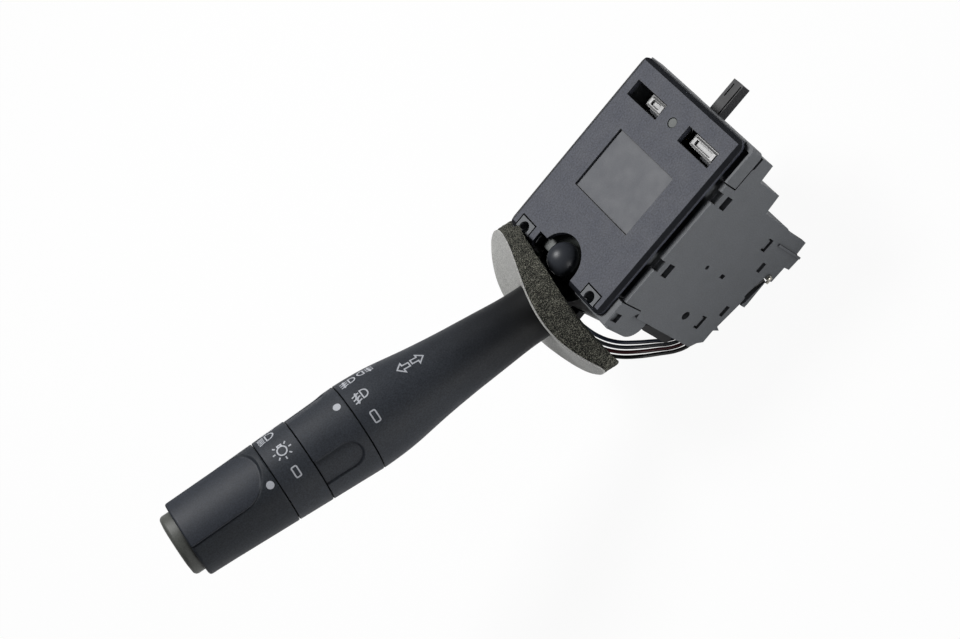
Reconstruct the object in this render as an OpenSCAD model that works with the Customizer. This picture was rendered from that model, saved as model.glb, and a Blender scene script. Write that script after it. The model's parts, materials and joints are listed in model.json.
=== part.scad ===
// Combination stalk switch for a steering column, in millimetres.
// Origin: midway between the two fixing screws, on the cover's outer face.
// +X runs to the column end, +Y across the housing, +Z out of the cover.

/* [Mounting] */
// Distance between the two fixing screws
screw_pitch = 40; // [38:0.5:42]
// Diameter of the fixing holes
screw_d = 4.4; // [3.6:0.1:5]
// Depth of the fixing bosses
boss_depth = 12; // [10:0.5:14]

/* [Top cover] */
// Length of the cover from the screw line to the column end
cover_l = 72; // [70:0.5:76]
// Overhang of the cover on the stalk side of the screw line
cover_front = 2.5; // [2:0.1:2.8]
// Width of the cover
cover_w = 55; // [54:0.5:56]
// Thickness of the cover
cover_t = 2.2; // [1.8:0.1:2.5]
// Corner radius of the cover
cover_r = 3; // [2:0.5:4]
// Width of the bevel along the cover's edges
bevel_w = 1.6; // [1:0.1:2]
// Height of the bevel along the cover's edges
bevel_h = 1; // [0.6:0.1:1.4]
// Length of the recessed label field
label_l = 24.2; // [20:0.2:26]
// Width of the recessed label field
label_w = 30.2; // [26:0.2:34]
// Distance of the label field from the screw line
label_x = 35.6; // [34:0.2:38]
// Depth of the label field
label_depth = 0.8; // [0.4:0.1:1]
// Length of the two slots at the column end
slot_l = 6.2; // [5.4:0.2:7]
// Width of the two slots at the column end
slot_w = 16.2; // [14:0.2:17]
// Distance between the slots' centres
slot_pitch = 28.8; // [27:0.2:30]
// Radius of the cut-out around the pivot
mouth_r = 9.6; // [9:0.1:10.4]

/* [Base] */
// Wall thickness of the base
base_wall = 1.8; // [1.4:0.1:2.2]
// Depth from the cover's outer face to the base's underside
base_depth = 17.5; // [17:0.5:18.5]
// Half width of the base on the plain side
base_half = 26; // [25.6:0.1:26.4]

/* [Contact module] */
// Depth of the module below the cover's outer face
module_depth = 65; // [62:0.5:68]
// Width of the module across the housing
module_w = 51; // [46:0.5:54]
// Wall thickness of the module
module_wall = 2; // [1.6:0.1:2.4]
// Thickness of the snap-on side plate
plate_t = 2.1; // [1.6:0.1:2.6]
// Contact blades in each row of a connector
blade_count = 5; // [3:1:6]
// Spacing of the contact blades
blade_pitch = 5; // [4.4:0.1:5.4]

/* [Pivot] */
// Distance of the turning axis from the screw line
pivot_x = 2; // [1.5:0.1:2.5]
// Depth of the tilting pin below the cover's outer face
pin_depth = 20.4; // [20:0.1:20.8]
// Diameter of the tilting pin
pin_d = 6; // [5:0.1:6.6]
// Radius of the turning drum
drum_r = 11.2; // [10.8:0.1:11.4]
// Radius of the domed head
dome_r = 6; // [5.6:0.1:6.4]
// Radius of the drum's foot journal
foot_r = 3.5; // [3:0.1:4]
// Largest turn of the stalk to each side, in degrees
turn_max = 7; // [5:0.5:7.5]
// Largest pull of the stalk towards the driver, in degrees
pull_max = 6; // [4:0.5:6.5]

/* [Stalk] */
// Rise of the stalk above the cover's plane, in degrees
stalk_rise = 28.2; // [27:0.1:29]
// Distance from the tilting pin to the knob's rim
stalk_l = 165.2; // [160:0.2:172]
// Length of the light knob
knob_l = 34.8; // [32:0.2:38]
// Length of the fixed collar
collar_l = 13.2; // [11:0.2:15]
// Length of the fog lamp ring
ring_l = 19.9; // [18:0.1:22]
// Diameter at the knob's rim
rim_d = 27.6; // [27:0.1:28.4]
// Diameter at the seam between ring and lever
seam_d = 32.7; // [31.6:0.1:33.6]
// Diameter of the lever's neck
neck_d = 20.1; // [19.4:0.1:21]
// Diameter of the push button in the knob's end
button_d = 22.6; // [21:0.1:23]
// Height of the push button above the knob's rim
button_rise = 4.5; // [3.6:0.1:5]
// Travel of the push button
button_travel = 2; // [1:0.1:2.4]
// Diameter of the tube that the ring turns on
tube_d = 10; // [9:0.1:11]
// Diameter of the knob's shaft
shaft_d = 6; // [5:0.1:6.4]

/* [Gasket] */
// Length of the foam gasket across the stalk
gasket_l = 71; // [68:0.2:72.4]
// Width of the foam gasket
gasket_w = 46.2; // [42:0.2:48]
// Thickness of the foam on its driver's side
foam_t = 8.4; // [7.6:0.1:9]
// Thickness of the foam on its hidden side
foam_thin = 5.4; // [4.6:0.1:6]
// Bend of the gasket's ends towards the housing
gasket_bend = 4.7; // [4:0.1:5.6]
// Twist of the gasket: rise in mm at its corners
gasket_twist = 8.5; // [0:0.1:9.5]
// Thickness of the film on the foam
film_t = 0.6; // [0.4:0.1:0.8]
// Distance from the tilting pin to the gasket's film, along the stalk
film_reach = 24.6; // [24.4:0.1:25.6]

/* [Cancelling finger] */
// Width of the finger
finger_w = 5; // [4.4:0.1:5.4]
// Height of the finger
finger_h = 4.4; // [3.8:0.1:4.6]
// Sideways crank of the finger, away from its pin
finger_crank = 2.6; // [0:0.1:3]
// Reach of the finger past the cover's end
finger_reach = 12.9; // [10:0.1:14]
// Swing of the finger to each side, in degrees
finger_swing = 18; // [12:1:20]
// Diameter of the finger's pin
finger_pin_d = 3.5; // [3:0.1:3.8]

/* [Wires] */
// Outer diameter of a wire
wire_d = 1.4; // [1.2:0.1:1.6]

/* [Hidden] */
$fn = 64;
eps = 0.01;
gap = 0.3;
run_fit = 0.06;

housing_grey = [0.36, 0.37, 0.4];
module_grey = [0.37, 0.38, 0.39];
stalk_black = [0.2, 0.21, 0.23];
nylon = [0.85, 0.85, 0.82];
brass_tone = [0.8, 0.65, 0.3];
steel = [0.7, 0.7, 0.72];

// Levels of the base, measured down from the cover's outer face
floor_top = -(base_depth - 2);
flange_low = -8.2;
ledge_top = -4;
front_x = -3;
block_x = 6.5;
block_in = 13;
nose_low = -21;
nose_reach = -4.6;
nose_foot = -24.6;
base_end = cover_l - 3;
plate_in = 28.1;
plate_out = plate_in + plate_t;
tray_side = 25.7;
inner_side = tray_side - 1.5;

// Levels of the drum and its well
well_gap = 0.4;
well_r = drum_r + well_gap;
well_out = well_r + 2;
drum_top = -9.5;
drum_low = -31;
dome_z = -3;
well_floor = drum_low - gap;
well_low = -36;
foot_low = -35.7;
ring_low = -8;
ring_top = -4.5;
slot_half = 6.2;
root_half = slot_half - 0.2;
boss_r = 6.8;
boss_gap = 0.4;
arm_r = 5.8;
lug_x = 6;
lug_h = 7.4;
arm_y = 3;
rear_arm_low = -13.5;
rear_reach = 22;
wall_w = 2 * slot_half;

// Far end features follow the cover's length
finger_x = cover_l - 11;
finger_top = -10.6;
slot_x = cover_l - 11.1;
step_1 = cover_l - 0.5;
step_2 = cover_l - 7.4;
step_3 = cover_l - 15;
step_4 = cover_l - 15.7;
low_x = step_4 - 18;
bay_low = -(module_depth - 8);
end_lip = 0.5;

// Stations along the stalk, measured from the tilting pin towards the tip
rim_s = stalk_l;
knob_s = stalk_l - knob_l;
collar_s = knob_s - collar_l;
ring_s = collar_s - ring_l;
neck_s = 22;
taper = (seam_d - rim_d) / (rim_s - ring_s) / 2;
root_end = 52;
tube_end = knob_s - gap;
seam_gap = 0.15;
floor_s = rim_s - 13.2;
stem_r = 2;
head_r = 2.8;
cell_r = 4.4;
facet_r = 17.7;
facet_depth = 1.2;
facet_half = 10.3;
grip_half = 5;
grip_depth = 0.7;
rim_edge = 0.8;

function stalk_radius(s) = rim_d / 2 + taper * (rim_s - s);

// Draws children in the stalk's own frame: origin at the tilting pin, z towards the tip
module on_stalk(pull = 0) {
    translate([pivot_x, 0, -pin_depth]) rotate([0, stalk_rise - 90 + pull, 0]) children();
}

// Draws children about the turning axis
module on_pivot() {
    translate([pivot_x, 0, 0]) children();
}

// Extrudes a (Y, Z) outline along X
module along_x(x0, x1) {
    translate([x0, 0, 0]) rotate([90, 0, 90]) linear_extrude(x1 - x0) children();
}

// Extrudes an (X, Z) outline along Y
module along_y(y0, y1) {
    translate([0, y1, 0]) rotate([90, 0, 0]) linear_extrude(y1 - y0) children();
}

// Box between two corners
module box(a, b) {
    translate(a) cube(b - a);
}

// Tube between two heights on the z axis
module tube(r_out, r_in, z0, z1) {
    translate([0, 0, z0]) difference() {
        cylinder(r = r_out, h = z1 - z0);
        translate([0, 0, -eps]) cylinder(r = r_in, h = z1 - z0 + 2 * eps);
    }
}

// Rod between two heights on the z axis
module rod(r, z0, z1) {
    translate([0, 0, z0]) cylinder(r = r, h = z1 - z0);
}

// Points of one ring of a swept tube, square to its direction; side is never along the tube
function ring_points(c, dir, r, n, side) =
    let (d = dir / norm(dir), u0 = cross(side, d), u = u0 / norm(u0), v = cross(d, u))
    [for (i = [0 : n - 1]) c + r * (cos(360 * i / n) * u + sin(360 * i / n) * v)];

// One solid tube swept through a list of points
module swept(path, d, side, n = 8) {
    k = len(path);
    pts = [for (i = [0 : k - 1])
        each ring_points(path[i], path[min(i + 1, k - 1)] - path[max(i - 1, 0)], d / 2, n, side)];
    lower = [for (i = [0 : k - 2], j = [0 : n - 1]) [i * n + j, (i + 1) * n + j, (i + 1) * n + (j + 1) % n]];
    upper = [for (i = [0 : k - 2], j = [0 : n - 1]) [i * n + j, (i + 1) * n + (j + 1) % n, i * n + (j + 1) % n]];
    first = [for (j = [0 : n - 1]) j];
    last = [for (j = [n - 1 : -1 : 0]) (k - 1) * n + j];
    polyhedron(points = pts, faces = concat([first, last], lower, upper));
}

// Points of a coil about the z axis
function coil_path(r, z0, z1, turns, steps) =
    [for (i = [0 : turns * steps])
        [r * cos(360 * i / steps), r * sin(360 * i / steps), z0 + (z1 - z0) * i / (turns * steps)]];

// Point between b and c on a smooth curve through a, b, c and d
function smooth_point(a, b, c, d, t) =
    0.5 * (2 * b + (c - a) * t + (2 * a - 5 * b + 4 * c - d) * t * t
        + (3 * b - a - 3 * c + d) * t * t * t);

// Smooth curve through a cord's route points
function smooth_route(p, steps = 2) =
    concat([for (i = [0 : len(p) - 2], k = [0 : steps - 1])
        smooth_point(p[max(i - 1, 0)], p[i], p[i + 1], p[min(i + 2, len(p) - 1)], k / steps)],
        [p[len(p) - 1]]);

// Plan of the cover, with round corners
module cover_plan() {
    x0 = -cover_front;
    translate([x0 + cover_r, -cover_w / 2]) square([cover_l - x0 - 2 * cover_r, cover_w]);
    translate([x0, -cover_w / 2 + cover_r]) square([cover_l - x0, cover_w - 2 * cover_r]);
    for (x = [x0 + cover_r, cover_l - cover_r], y = [-1, 1])
        translate([x, y * (cover_w / 2 - cover_r)]) circle(r = cover_r);
}

// Half section of a bevelled plate
function bevelled(a, b) = [[a, -cover_t], [b, -cover_t], [b, -bevel_h], [b - bevel_w, 0],
    [a + bevel_w, 0], [a, -bevel_h]];

window_l = 5.2;
window_w = 8;
window_x = 0.8;
window_gap = 0.45;
// The bosses' tops lie in the mounting plane
boss_top = 0;

module top_cover() {
    color(housing_grey) difference() {
        intersection() {
            translate([0, 0, -cover_t]) linear_extrude(cover_t) cover_plan();
            along_x(-cover_front - 1, cover_l + 1) polygon(bevelled(-cover_w / 2, cover_w / 2));
            along_y(-cover_w, cover_w) polygon(bevelled(-cover_front, cover_l));
        }
        // Pivot cut-out, open to the stalk side
        translate([pivot_x - 1.2, 0, -cover_t - 1]) cylinder(r = mouth_r, h = cover_t + 2);
        box([-cover_front - 1, -mouth_r, -cover_t - 1], [pivot_x - 1.2, mouth_r, 1]);
        box([-cover_front - 1, mouth_r - 1, -cover_t - 1], [3.3, 13.3, 1]);
        // Windows over the fixing bosses
        for (side = [-1, 1])
            translate([window_x, side * screw_pitch / 2, -cover_t / 2])
                cube([window_l, window_w, cover_t + 2], center = true);
        // Slots, pin hole and label field
        for (side = [-1, 1])
            translate([slot_x, side * slot_pitch / 2, -cover_t / 2])
                cube([slot_l, slot_w, cover_t + 2], center = true);
        translate([finger_x, 0, -cover_t - 1]) cylinder(d = finger_pin_d + 2 * run_fit, h = cover_t + 2);
        box([label_x - label_l / 2, -label_w / 2, -label_depth], [label_x + label_l / 2, label_w / 2, 1]);
    }
}

// Side outline of the front block: square above, round nose below
module block_outline() {
    nose_r = 8;
    translate([front_x, nose_low + nose_r]) square([block_x - front_x, -cover_t - nose_low - nose_r]);
    intersection() {
        translate([front_x + nose_r, nose_low + nose_r]) circle(r = nose_r);
        translate([front_x, nose_low]) square([block_x - front_x, nose_r]);
    }
}

groove_low = -9.6;
rim_wall = 0.9;
corner_r = 1.8;

// Plan of the corner block at the column end
function corner_plan() = concat(
    [[finger_x - 2.7, -tray_side + eps], [finger_x - 2.7, -plate_out]],
    [for (a = [-90 : 15 : 0]) [cover_l + end_lip - corner_r + corner_r * cos(a), -plate_out + corner_r + corner_r * sin(a)]],
    [[cover_l + end_lip, -tray_side + eps]]);

// Side outline of the low nose behind the front block
module nose_outline() {
    r = 6;
    translate([nose_reach, -17]) square([block_x - nose_reach, 9]);
    intersection() {
        translate([nose_reach + r, nose_foot + r]) circle(r = r);
        translate([nose_reach, nose_foot]) square([2 * r, 2 * r]);
    }
    translate([nose_reach + r, nose_foot]) square([block_x - nose_reach - r, 10]);
    translate([nose_reach, nose_foot + r]) square([block_x - nose_reach, -17 - nose_foot - r + eps]);
}

// Tray walls, floor and column end
module tray_solid() {
    box([block_x - 1, -tray_side, -base_depth], [base_end, base_half, -cover_t]);
    box([base_end - base_wall, -tray_side, flange_low - 1.2], [cover_l + end_lip, base_half, -cover_t - 0.1]);
    // Ledge under the side plate's edge, with a deep groove above it
    box([block_x + 0.5, -plate_in, -base_depth], [finger_x - 3, -tray_side + eps, groove_low]);
    // Corner block, with a round edge and a groove beside the cover
    difference() {
        translate([0, 0, -9.2]) linear_extrude(6.2) polygon(corner_plan());
        box([finger_x - 3, -plate_out + rim_wall, -6.4], [cover_l - 1.6, -tray_side, 0]);
    }
}

module switch_base() {
    color(housing_grey) difference() {
        union() {
            difference() {
                tray_solid();
                difference() {
                    union() {
                        box([block_x + 1, -inner_side, floor_top], [base_end - base_wall, base_half - base_wall, 1]);
                        box([base_end - base_wall - 1, -inner_side, flange_low],
                            [cover_l + end_lip - base_wall, base_half - base_wall, 1]);
                    }
                    on_pivot() rod(well_out, -base_depth, ring_low - eps);
                }
            }
            // Front blocks with the fixing bosses
            along_y(-plate_out, -tray_side) polygon([[front_x, -cover_t], [block_x, -cover_t],
                [block_x, -boss_depth - 1.8], [block_x - 0.6, -boss_depth - 2.2],
                [3.6, -boss_depth], [front_x, -boss_depth + 1]]);
            along_y(-plate_in, -block_in) {
                block_outline();
                nose_outline();
            }
            along_y(block_in, base_half) block_outline();
            box([nose_reach - 1.4, block_in, -17], [block_x, base_half - 4, -10.5]);
            // Half-round stop rib beside the pivot
            difference() {
                translate([stop_x, block_in - 0.1, -4.3]) cylinder(r = 1.6, h = 3.1);
                box([-2, 13.25, -cover_t], [4, 16, 0]);
            }
            for (side = [-1, 1])
                translate([window_x, side * screw_pitch / 2, (boss_top - boss_depth) / 2])
                    cube([window_l - 2 * window_gap, window_w - 2 * window_gap, boss_depth + boss_top], center = true);
            on_pivot() rod(well_out, well_low, ring_low - 0.05);
            // Posts under the two pawls
            for (side = [-1, 1])
                translate([slot_x, side * slot_pitch / 2, (floor_top - 1 + pawl_low) / 2])
                    cube([slot_l, 6, pawl_low - floor_top + 1], center = true);
        }
        on_pivot() rod(well_r, well_floor, 1);
        on_pivot() rod(ring_out, ring_low, 1);
        on_pivot() rod(bush_r, well_low - 1, well_floor + 1);
        box([-30, -well_mouth, mouth_low], [pivot_x, well_mouth, 1]);
        for (i = [0 : 3]) translate([guide_x - 2, guide_y(i), guide_z]) rotate([0, 90, 0]) cylinder(d = wire_d + 0.3, h = 6);
        // Window through the well for the drum's rear arm
        box([pivot_x, -6.6, floor_top], [pivot_x + well_out + 1, 8, ring_low - 1.2]);
        for (side = [-1, 1])
            translate([0, side * screw_pitch / 2, nose_low - 1]) cylinder(d = screw_d, h = -nose_low + 2);
        // Opening for the finger, hole for its pin, snap hole in the front block
        box([base_end - base_wall - 1, -finger_open, floor_top - eps], [cover_l + 1, finger_open - 2 * finger_crank, flange_low + eps]);
        translate([finger_x, 0, floor_top - 1.2]) cylinder(d = finger_pin_d, h = 3);
        box([-0.9, -plate_out - 1, -7], [2.5, -plate_out + 1.4, -3.2]);
    }
}

bush_r = 5.5;
well_mouth = 7.9;
mouth_low = -21.4;
pawl_low = -9;
finger_open = 9.2;
stop_x = 0.8;
ring_out = block_in - 0.2;

// Stepped outline of the side plate
module plate_outline() {
    polygon([[block_x + 0.5, ledge_top], [finger_x - 3.2, ledge_top], [finger_x - 3.2, -9.7],
        [cover_l - 5.2, -9.7], [cover_l - 5.2, -10.4], [step_1, -10.4], [step_1, -17.3], [step_2, -18],
        [step_2, -32], [step_3, -33], [step_3, -50], [step_4, -52], [step_4, -module_depth],
        [step_4 - 5, -module_depth - 0.6], [step_4 - 6.1, -module_depth - 3.8], [step_4 - 11.3, -module_depth - 3.5],
        [step_4 - 11.5, -module_depth - 0.2], [low_x - 0.2, -module_depth], [low_x - 0.7, bay_low - 5.4],
        [low_x, bay_low - 2.7], [low_x - 4, bay_low - 1.6], [low_x - 8, bay_low - 0.8], [low_x - 9.6, bay_low - 0.6],
        [low_x - 10, bay_low - 1.6], [low_x - 13.4, bay_low - 1.7], [14.4, bay_low - 0.3], [13.4, bay_low - 2.8],
        [12.4, bay_low + 0.2], [7, bay_low], [5.5, bay_low + 2.9], [3, bay_low + 5.1], [3.9, -boss_depth - 2.7],
        [6, -boss_depth - 2.2], [block_x + 0.5, -boss_depth - 1.6]]);
}

// Centre and size of each snap window in the side plate
snap_windows = [[step_4 - 3.8, -10.5, 5, 3.3], [23.3, -10.5, 5.2, 3.3], [step_4 - 3.7, -5, 4.6, 2.2],
    [23.5, -5, 4.4, 2.2], [step_4 - 15.8, bay_low + 3.6, 4, 2.2], [20.5, bay_low + 3, 4.4, 2.2],
    [step_4 - 25.4, -38.2, 1.6, 2.4]];
// Windows that are filled by a snap nub
nub_windows = [[step_4 - 8.1, bay_low + 10.3, 5.2, 2.8], [12.9, bay_low + 10.3, 5.5, 2.8]];
nub_gap = 0.7;
rib_x = step_4 - 6.2;

module side_plate() {
    color(module_grey) difference() {
        union() {
            along_y(-plate_out, -plate_in) plate_outline();
            box([cover_l - 7, -plate_out + eps, -17.3], [step_1, -tray_side, -10.4]);
            box([base_end, -tray_side - eps, -17.3], [step_1, -plate_out + 6.4, -10.4]);
            // Rib down to the lower tongue
            box([rib_x, -plate_out - 0.5, -module_depth - 3.4], [rib_x + 0.9, -plate_out + eps, bay_low + 5]);
        }
        for (w = concat(snap_windows, nub_windows))
            translate([w[0], -plate_in - plate_t / 2, w[1]]) cube([w[2], plate_t + 1, w[3]], center = true);
        for (h = [[step_4 - 25.3, -27.3, 0.9], [12.6, -36.9, 1.7]])
            translate([h[0], -plate_in + 1, h[1]]) rotate([90, 0, 0]) cylinder(r = h[2], h = plate_t + 2);
    }
}

// Outline of the module's shell, inset by i
function module_outline(i) = [[pivot_x + well_out + 0.4 + i, -base_depth - i], [step_2 - i, -base_depth - i],
    [step_2 - i, -32 + i], [step_3 - i, -32 + i], [step_3 - i, -50], [step_4 - 0.8 - i, -50],
    [step_4 - 0.8 - i, -module_depth + i], [low_x + i, -module_depth + i], [low_x + i, bay_low + i],
    [5 + i, bay_low + i], [5 + i, well_low - 0.4 - i], [pivot_x + well_out + 0.4 + i, well_low - 0.4 - i]];

module_back = module_w - plate_in;
block_a = [[step_4 - 15.6, -20, -module_depth - 1], [step_4 - 3.6, 14, -module_depth + 13]];
shelf_low = well_low - 0.4 - module_wall;
block_drop = 5.6;
block_b = [[12, -18, bay_low - 1], [24, 16, shelf_low - block_drop]];
header_t = 3;
blade_l = 13;

module contact_module() {
    color(module_grey) difference() {
        union() {
            difference() {
                along_y(-plate_in, module_back) polygon(module_outline(0));
                along_y(-plate_in - 1, module_back - module_wall) polygon(module_outline(module_wall));
            }
            // Ribs that carry the connector blocks
            box([5 + eps, -plate_in, shelf_low], [step_3 - 1, module_back - 1, shelf_low + module_wall]);
        }
        for (b = [block_a, block_b]) box(b[0] - [0, 0, 2], b[1] + [0, 0, -4]);
        box([low_x - 0.3, -plate_in - 1, well_low - 3], [step_3 - module_wall, module_back - module_wall, well_low]);
    }
    color(module_grey) for (w = nub_windows)
        translate([w[0], -plate_in - 0.8, w[1]]) cube([w[2] - 2 * nub_gap, 1.6, w[3] - 2 * nub_gap], center = true);
}

// Connector shroud with an open socket below its header wall
module connector_block(b) {
    wall = 1.4;
    color(stalk_black) difference() {
        box(b[0], b[1]);
        box(b[0] + [wall, wall, -1], b[1] - [wall, wall, header_t]);
        blade_places(b) cube([0.8, 2.6, 40], center = true);
    }
}

// Places children at each blade of a connector
module blade_places(b) {
    mid = (b[0] + b[1]) / 2;
    for (row = [-1, 1], i = [0 : blade_count - 1])
        translate([mid[0] + row * 2.4, mid[1] + (i - (blade_count - 1) / 2) * blade_pitch, b[1][2]]) children();
}

// Blades held in a connector's header wall
module blade_row(b) {
    color(brass_tone) blade_places(b) translate([0, 0, -2.5]) cube([0.8, 2.6, blade_l], center = true);
}

module connector_block_a() {
    connector_block(block_a);
}

module connector_block_b() {
    connector_block(block_b);
}

module blades_a() {
    blade_row(block_a);
}

module blades_b() {
    blade_row(block_b);
}

// Stamped copper tracks on an insulating plate, under the base's floor
module track_plate() {
    x0 = pivot_x + well_out + 0.4 + module_wall;
    z1 = -base_depth - module_wall;
    tracks = 6;
    pitch = (step_2 - module_wall - x0) / tracks;
    color(brass_tone) {
        box([x0, -24, z1 - 1.6], [step_2 - module_wall, module_back - module_wall, z1]);
        for (i = [0 : tracks - 1]) box([x0 + (i + 0.3) * pitch, -22, z1 - 2.2],
            [x0 + (i + 0.85) * pitch, module_back - 5, z1 - 1.6 + eps]);
    }
}

// Plate of fixed contacts under the cover, above the turning slider
module upper_contact_plate() {
    color(brass_tone) difference() {
        box([17, -inner_side + 1, -cover_t - 1.6], [finger_x - 8, base_half - base_wall - 1, -cover_t]);
        for (y = [-10, 0, 10]) box([20, y - 1.2, -cover_t - 3], [44, y + 1.2, -cover_t + 1]);
    }
}

// Translucent nylon pawl that shows in a cover slot, with a sunk field in its top
module pawl(side) {
    y0 = -7.4;
    y1 = side > 0 ? 2.2 : 6.4;
    color(nylon) translate([slot_x, side * slot_pitch / 2, pawl_low]) difference() {
        union() {
            along_y(y0 + 1.6, y1 - 1) polygon([[-1.6, 0], [2.6, 0], [2.6, 4.6], [1.8, 6.2], [-0.9, 6.2], [-1.6, 5]]);
            box([-1.6, y0, 0], [2.6, y1, 5.2]);
        }
        box([-0.4, y0 + 3.2, 5.3], [1.3, y1 - 2.4, 7]);
    }
}

module pawl_left() {
    pawl(1);
}

module pawl_right() {
    pawl(-1);
}

module finger_pin() {
    color(nylon) translate([finger_x, 0, 0]) rod(finger_pin_d / 2, floor_top - 1.2, -0.2);
}

// Bearing ring around the neck of the domed head, with a funnel edge, open to the stalk side
module bearing_ring() {
    color(module_grey) difference() {
        on_pivot() tube(ring_out, dome_r + run_fit, ring_low, ring_top);
        on_pivot() translate([0, 0, ring_top - 2]) cylinder(r1 = dome_r + run_fit, r2 = dome_r + 2.4, h = 2 + eps);
        box([-30, -20, ring_low - 1], [pivot_x - 2.5, 20, ring_top + 1]);
    }
}

module foot_bush() {
    color(brass_tone) on_pivot() tube(bush_r, foot_r + run_fit, well_low, well_floor);
}

cam_r = rear_reach + 3.6;
notch_step = turn_max;

// Detent cam with three notches on an arc about the turning axis
module detent_cam() {
    color(nylon) difference() {
        on_pivot() difference() {
            box([cam_r - 2.6, -9, floor_top], [cam_r + 3, 9, drum_top + 0.5]);
            translate([0, 0, floor_top - 1]) cylinder(r = cam_r, h = 20);
        }
        for (a = [-notch_step, 0, notch_step])
            on_pivot() rotate([0, 0, a]) translate([cam_r, 0, floor_top - 1]) rotate([0, 0, 45])
                cube([1.8, 1.8, 40], center = true);
    }
}

slide_x0 = 16;
slide_x1 = 21.2;
slide_y = 18;
slide_low = drum_top + 0.4;
slide_t = 2.4;
drive_pin_x = 16.6;

// Two rails that carry the turning slider
module slider_rails() {
    color(module_grey) for (side = [-1, 1])
        box([slide_x0 - 0.5, side > 0 ? 12.2 : -16, floor_top], [slide_x1 + 0.5, side > 0 ? 16 : -12.2, slide_low - gap]);
}

// Turning slider with a slot for the drum's drive pin
module turn_slider() {
    color(nylon) difference() {
        box([slide_x0, -slide_y, slide_low], [slide_x1, slide_y, slide_low + slide_t]);
        box([pivot_x + drive_pin_x - 1.8, -1.45, slide_low - 1], [pivot_x + drive_pin_x + 1.6, 1.45, slide_low + 4]);
    }
}

// Sprung contact fingers on the turning slider
module slider_contacts() {
    z0 = slide_low + slide_t;
    color(brass_tone) for (y = [-12, -6, 6, 12])
        box([slide_x0 + 0.8, y - 1.5, z0], [slide_x1 - 0.8, y + 1.5, -cover_t - 1.6 - gap]);
}

// Clip that holds the wires under the module, with a thin wedge at the side plate
module wire_clip() {
    color(module_grey) difference() {
        union() {
            along_y(-plate_in + 0.2, -plate_in + 12) polygon([[low_x - 13.5, bay_low], [low_x - 0.1, bay_low],
                [low_x - 0.1, bay_low - 2.4], [low_x - 3.3, bay_low - 3.9], [low_x - 13.1, bay_low - 5.6]]);
            along_y(-plate_out, -plate_in + 0.3) polygon([[low_x - 13.1, bay_low - 2.4], [low_x - 11.4, bay_low - 3.6],
                [low_x - 1.2, bay_low - 4.7], [low_x - 1.2, bay_low - 5], [low_x - 11.3, bay_low - 5.6],
                [low_x - 13.1, bay_low - 5.5]]);
        }
        for (i = [0 : 2]) translate([low_x - 16, lane_y(i), bay_low - 1.6]) rotate([0, 90, 0])
            cylinder(d = wire_d + 0.1, h = 30);
        // Room for the black wire, which leaves the clip towards the soldered tag
        along_y(-plate_out - 1, lane_y(3) + 0.9) polygon([[low_x - 14, bay_low - 0.6], [low_x - 14, bay_low - 2.7],
            [low_x - 9, bay_low - 3.1], [low_x - 4, bay_low - 4.1], [low_x + 1, bay_low - 4.6], [low_x + 1, bay_low - 0.6]]);
    }
}

// Soldered tag on the side plate, with the bead of solder at its end
module solder_tag() {
    color(steel) {
        box([low_x - 1.6, -plate_out - 0.5, bay_low - 6.2], [low_x + 1.2, -plate_out, bay_low - 4.9]);
        difference() {
            translate([low_x + 0.6, -plate_out - 0.4, bay_low - 4]) sphere(r = 1.15, $fn = 24);
            box([low_x - 2, -plate_out, bay_low - 6], [low_x + 3, -plate_out + 2, bay_low - 2]);
        }
        box([low_x - 0.2, -plate_out - 0.5, bay_low - 5], [low_x + 1.2, -plate_out, bay_low - 3]);
    }
}

guide_x = pivot_x - well_out;
guide_z = -24.2;

function guide_y(i) = -3 + 1.9 * i;
function lane_y(i) = -20 - 2 * i;

// Middle of the wires' bundle and step from lane to lane, from the well's wall to the module's bay
wire_bundle = [
    [[guide_x + 1.6, -0.15, guide_z], [0, 1.9, 0]], [[guide_x - 2.2, -0.15, guide_z], [0, 1.9, 0]],
    [[-16, -2, -25.8], [-1.2, 1.4, -0.2]], [[-17.1, -5.2, -29.2], [-1.7, 0.7, -0.3]],
    [[-17, -9.2, -33], [-1.75, 0.1, -0.3]], [[-15.6, -13.6, -36.2], [-1.65, -0.5, -0.4]],
    [[-12.7, -17.7, -39.2], [-1.4, -0.85, -0.65]],
    [[-8.6, -21, -42.8], [-1, -1.45, -0.1]], [[-4.4, -22.8, -48.2], [-0.6, -1.7, 0]],
    [[-1.6, -23.2, -53.4], [-0.25, -1.85, 0]], [[1.8, -23.2, -57.3], [0, -1.95, 0]],
    [[7, -23, bay_low - 1.6], [0, -2, 0]], [[13, -23, bay_low - 1.6], [0, -2, 0]],
    [[19, -23, bay_low - 1.6], [0, -2, 0]]];

// Route of a wire: i is its lane, and the black wire's last run goes on to the soldered tag
function wire_route(i) = concat([for (p = wire_bundle) p[0] + (i - 1.5) * p[1]],
    i < 3 ? [for (x = [low_x - 12, low_x - 6, low_x - 0.7]) [x, lane_y(i), bay_low - 1.6]]
    : [[low_x - 12.6, lane_y(3) - 0.4, bay_low - 1.7], [low_x - 8.6, -27.8, bay_low - 2],
        [low_x - 4.4, -29.1, bay_low - 2.8], [low_x - 0.9, -29.5, bay_low - 4]]);

module wire(i, tone) {
    color(tone) swept(smooth_route(wire_route(i)), wire_d, [0, 1, -1]);
}

module wire_black() {
    wire(3, [0.08, 0.08, 0.09]);
}

module wire_red() {
    wire(2, [0.45, 0.1, 0.12]);
}

module wire_grey() {
    wire(1, [0.45, 0.46, 0.48]);
}

module wire_blue() {
    wire(0, [0.3, 0.36, 0.46]);
}

strap_w = 3;
strap_y = -plate_in + strap_w / 2;

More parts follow.
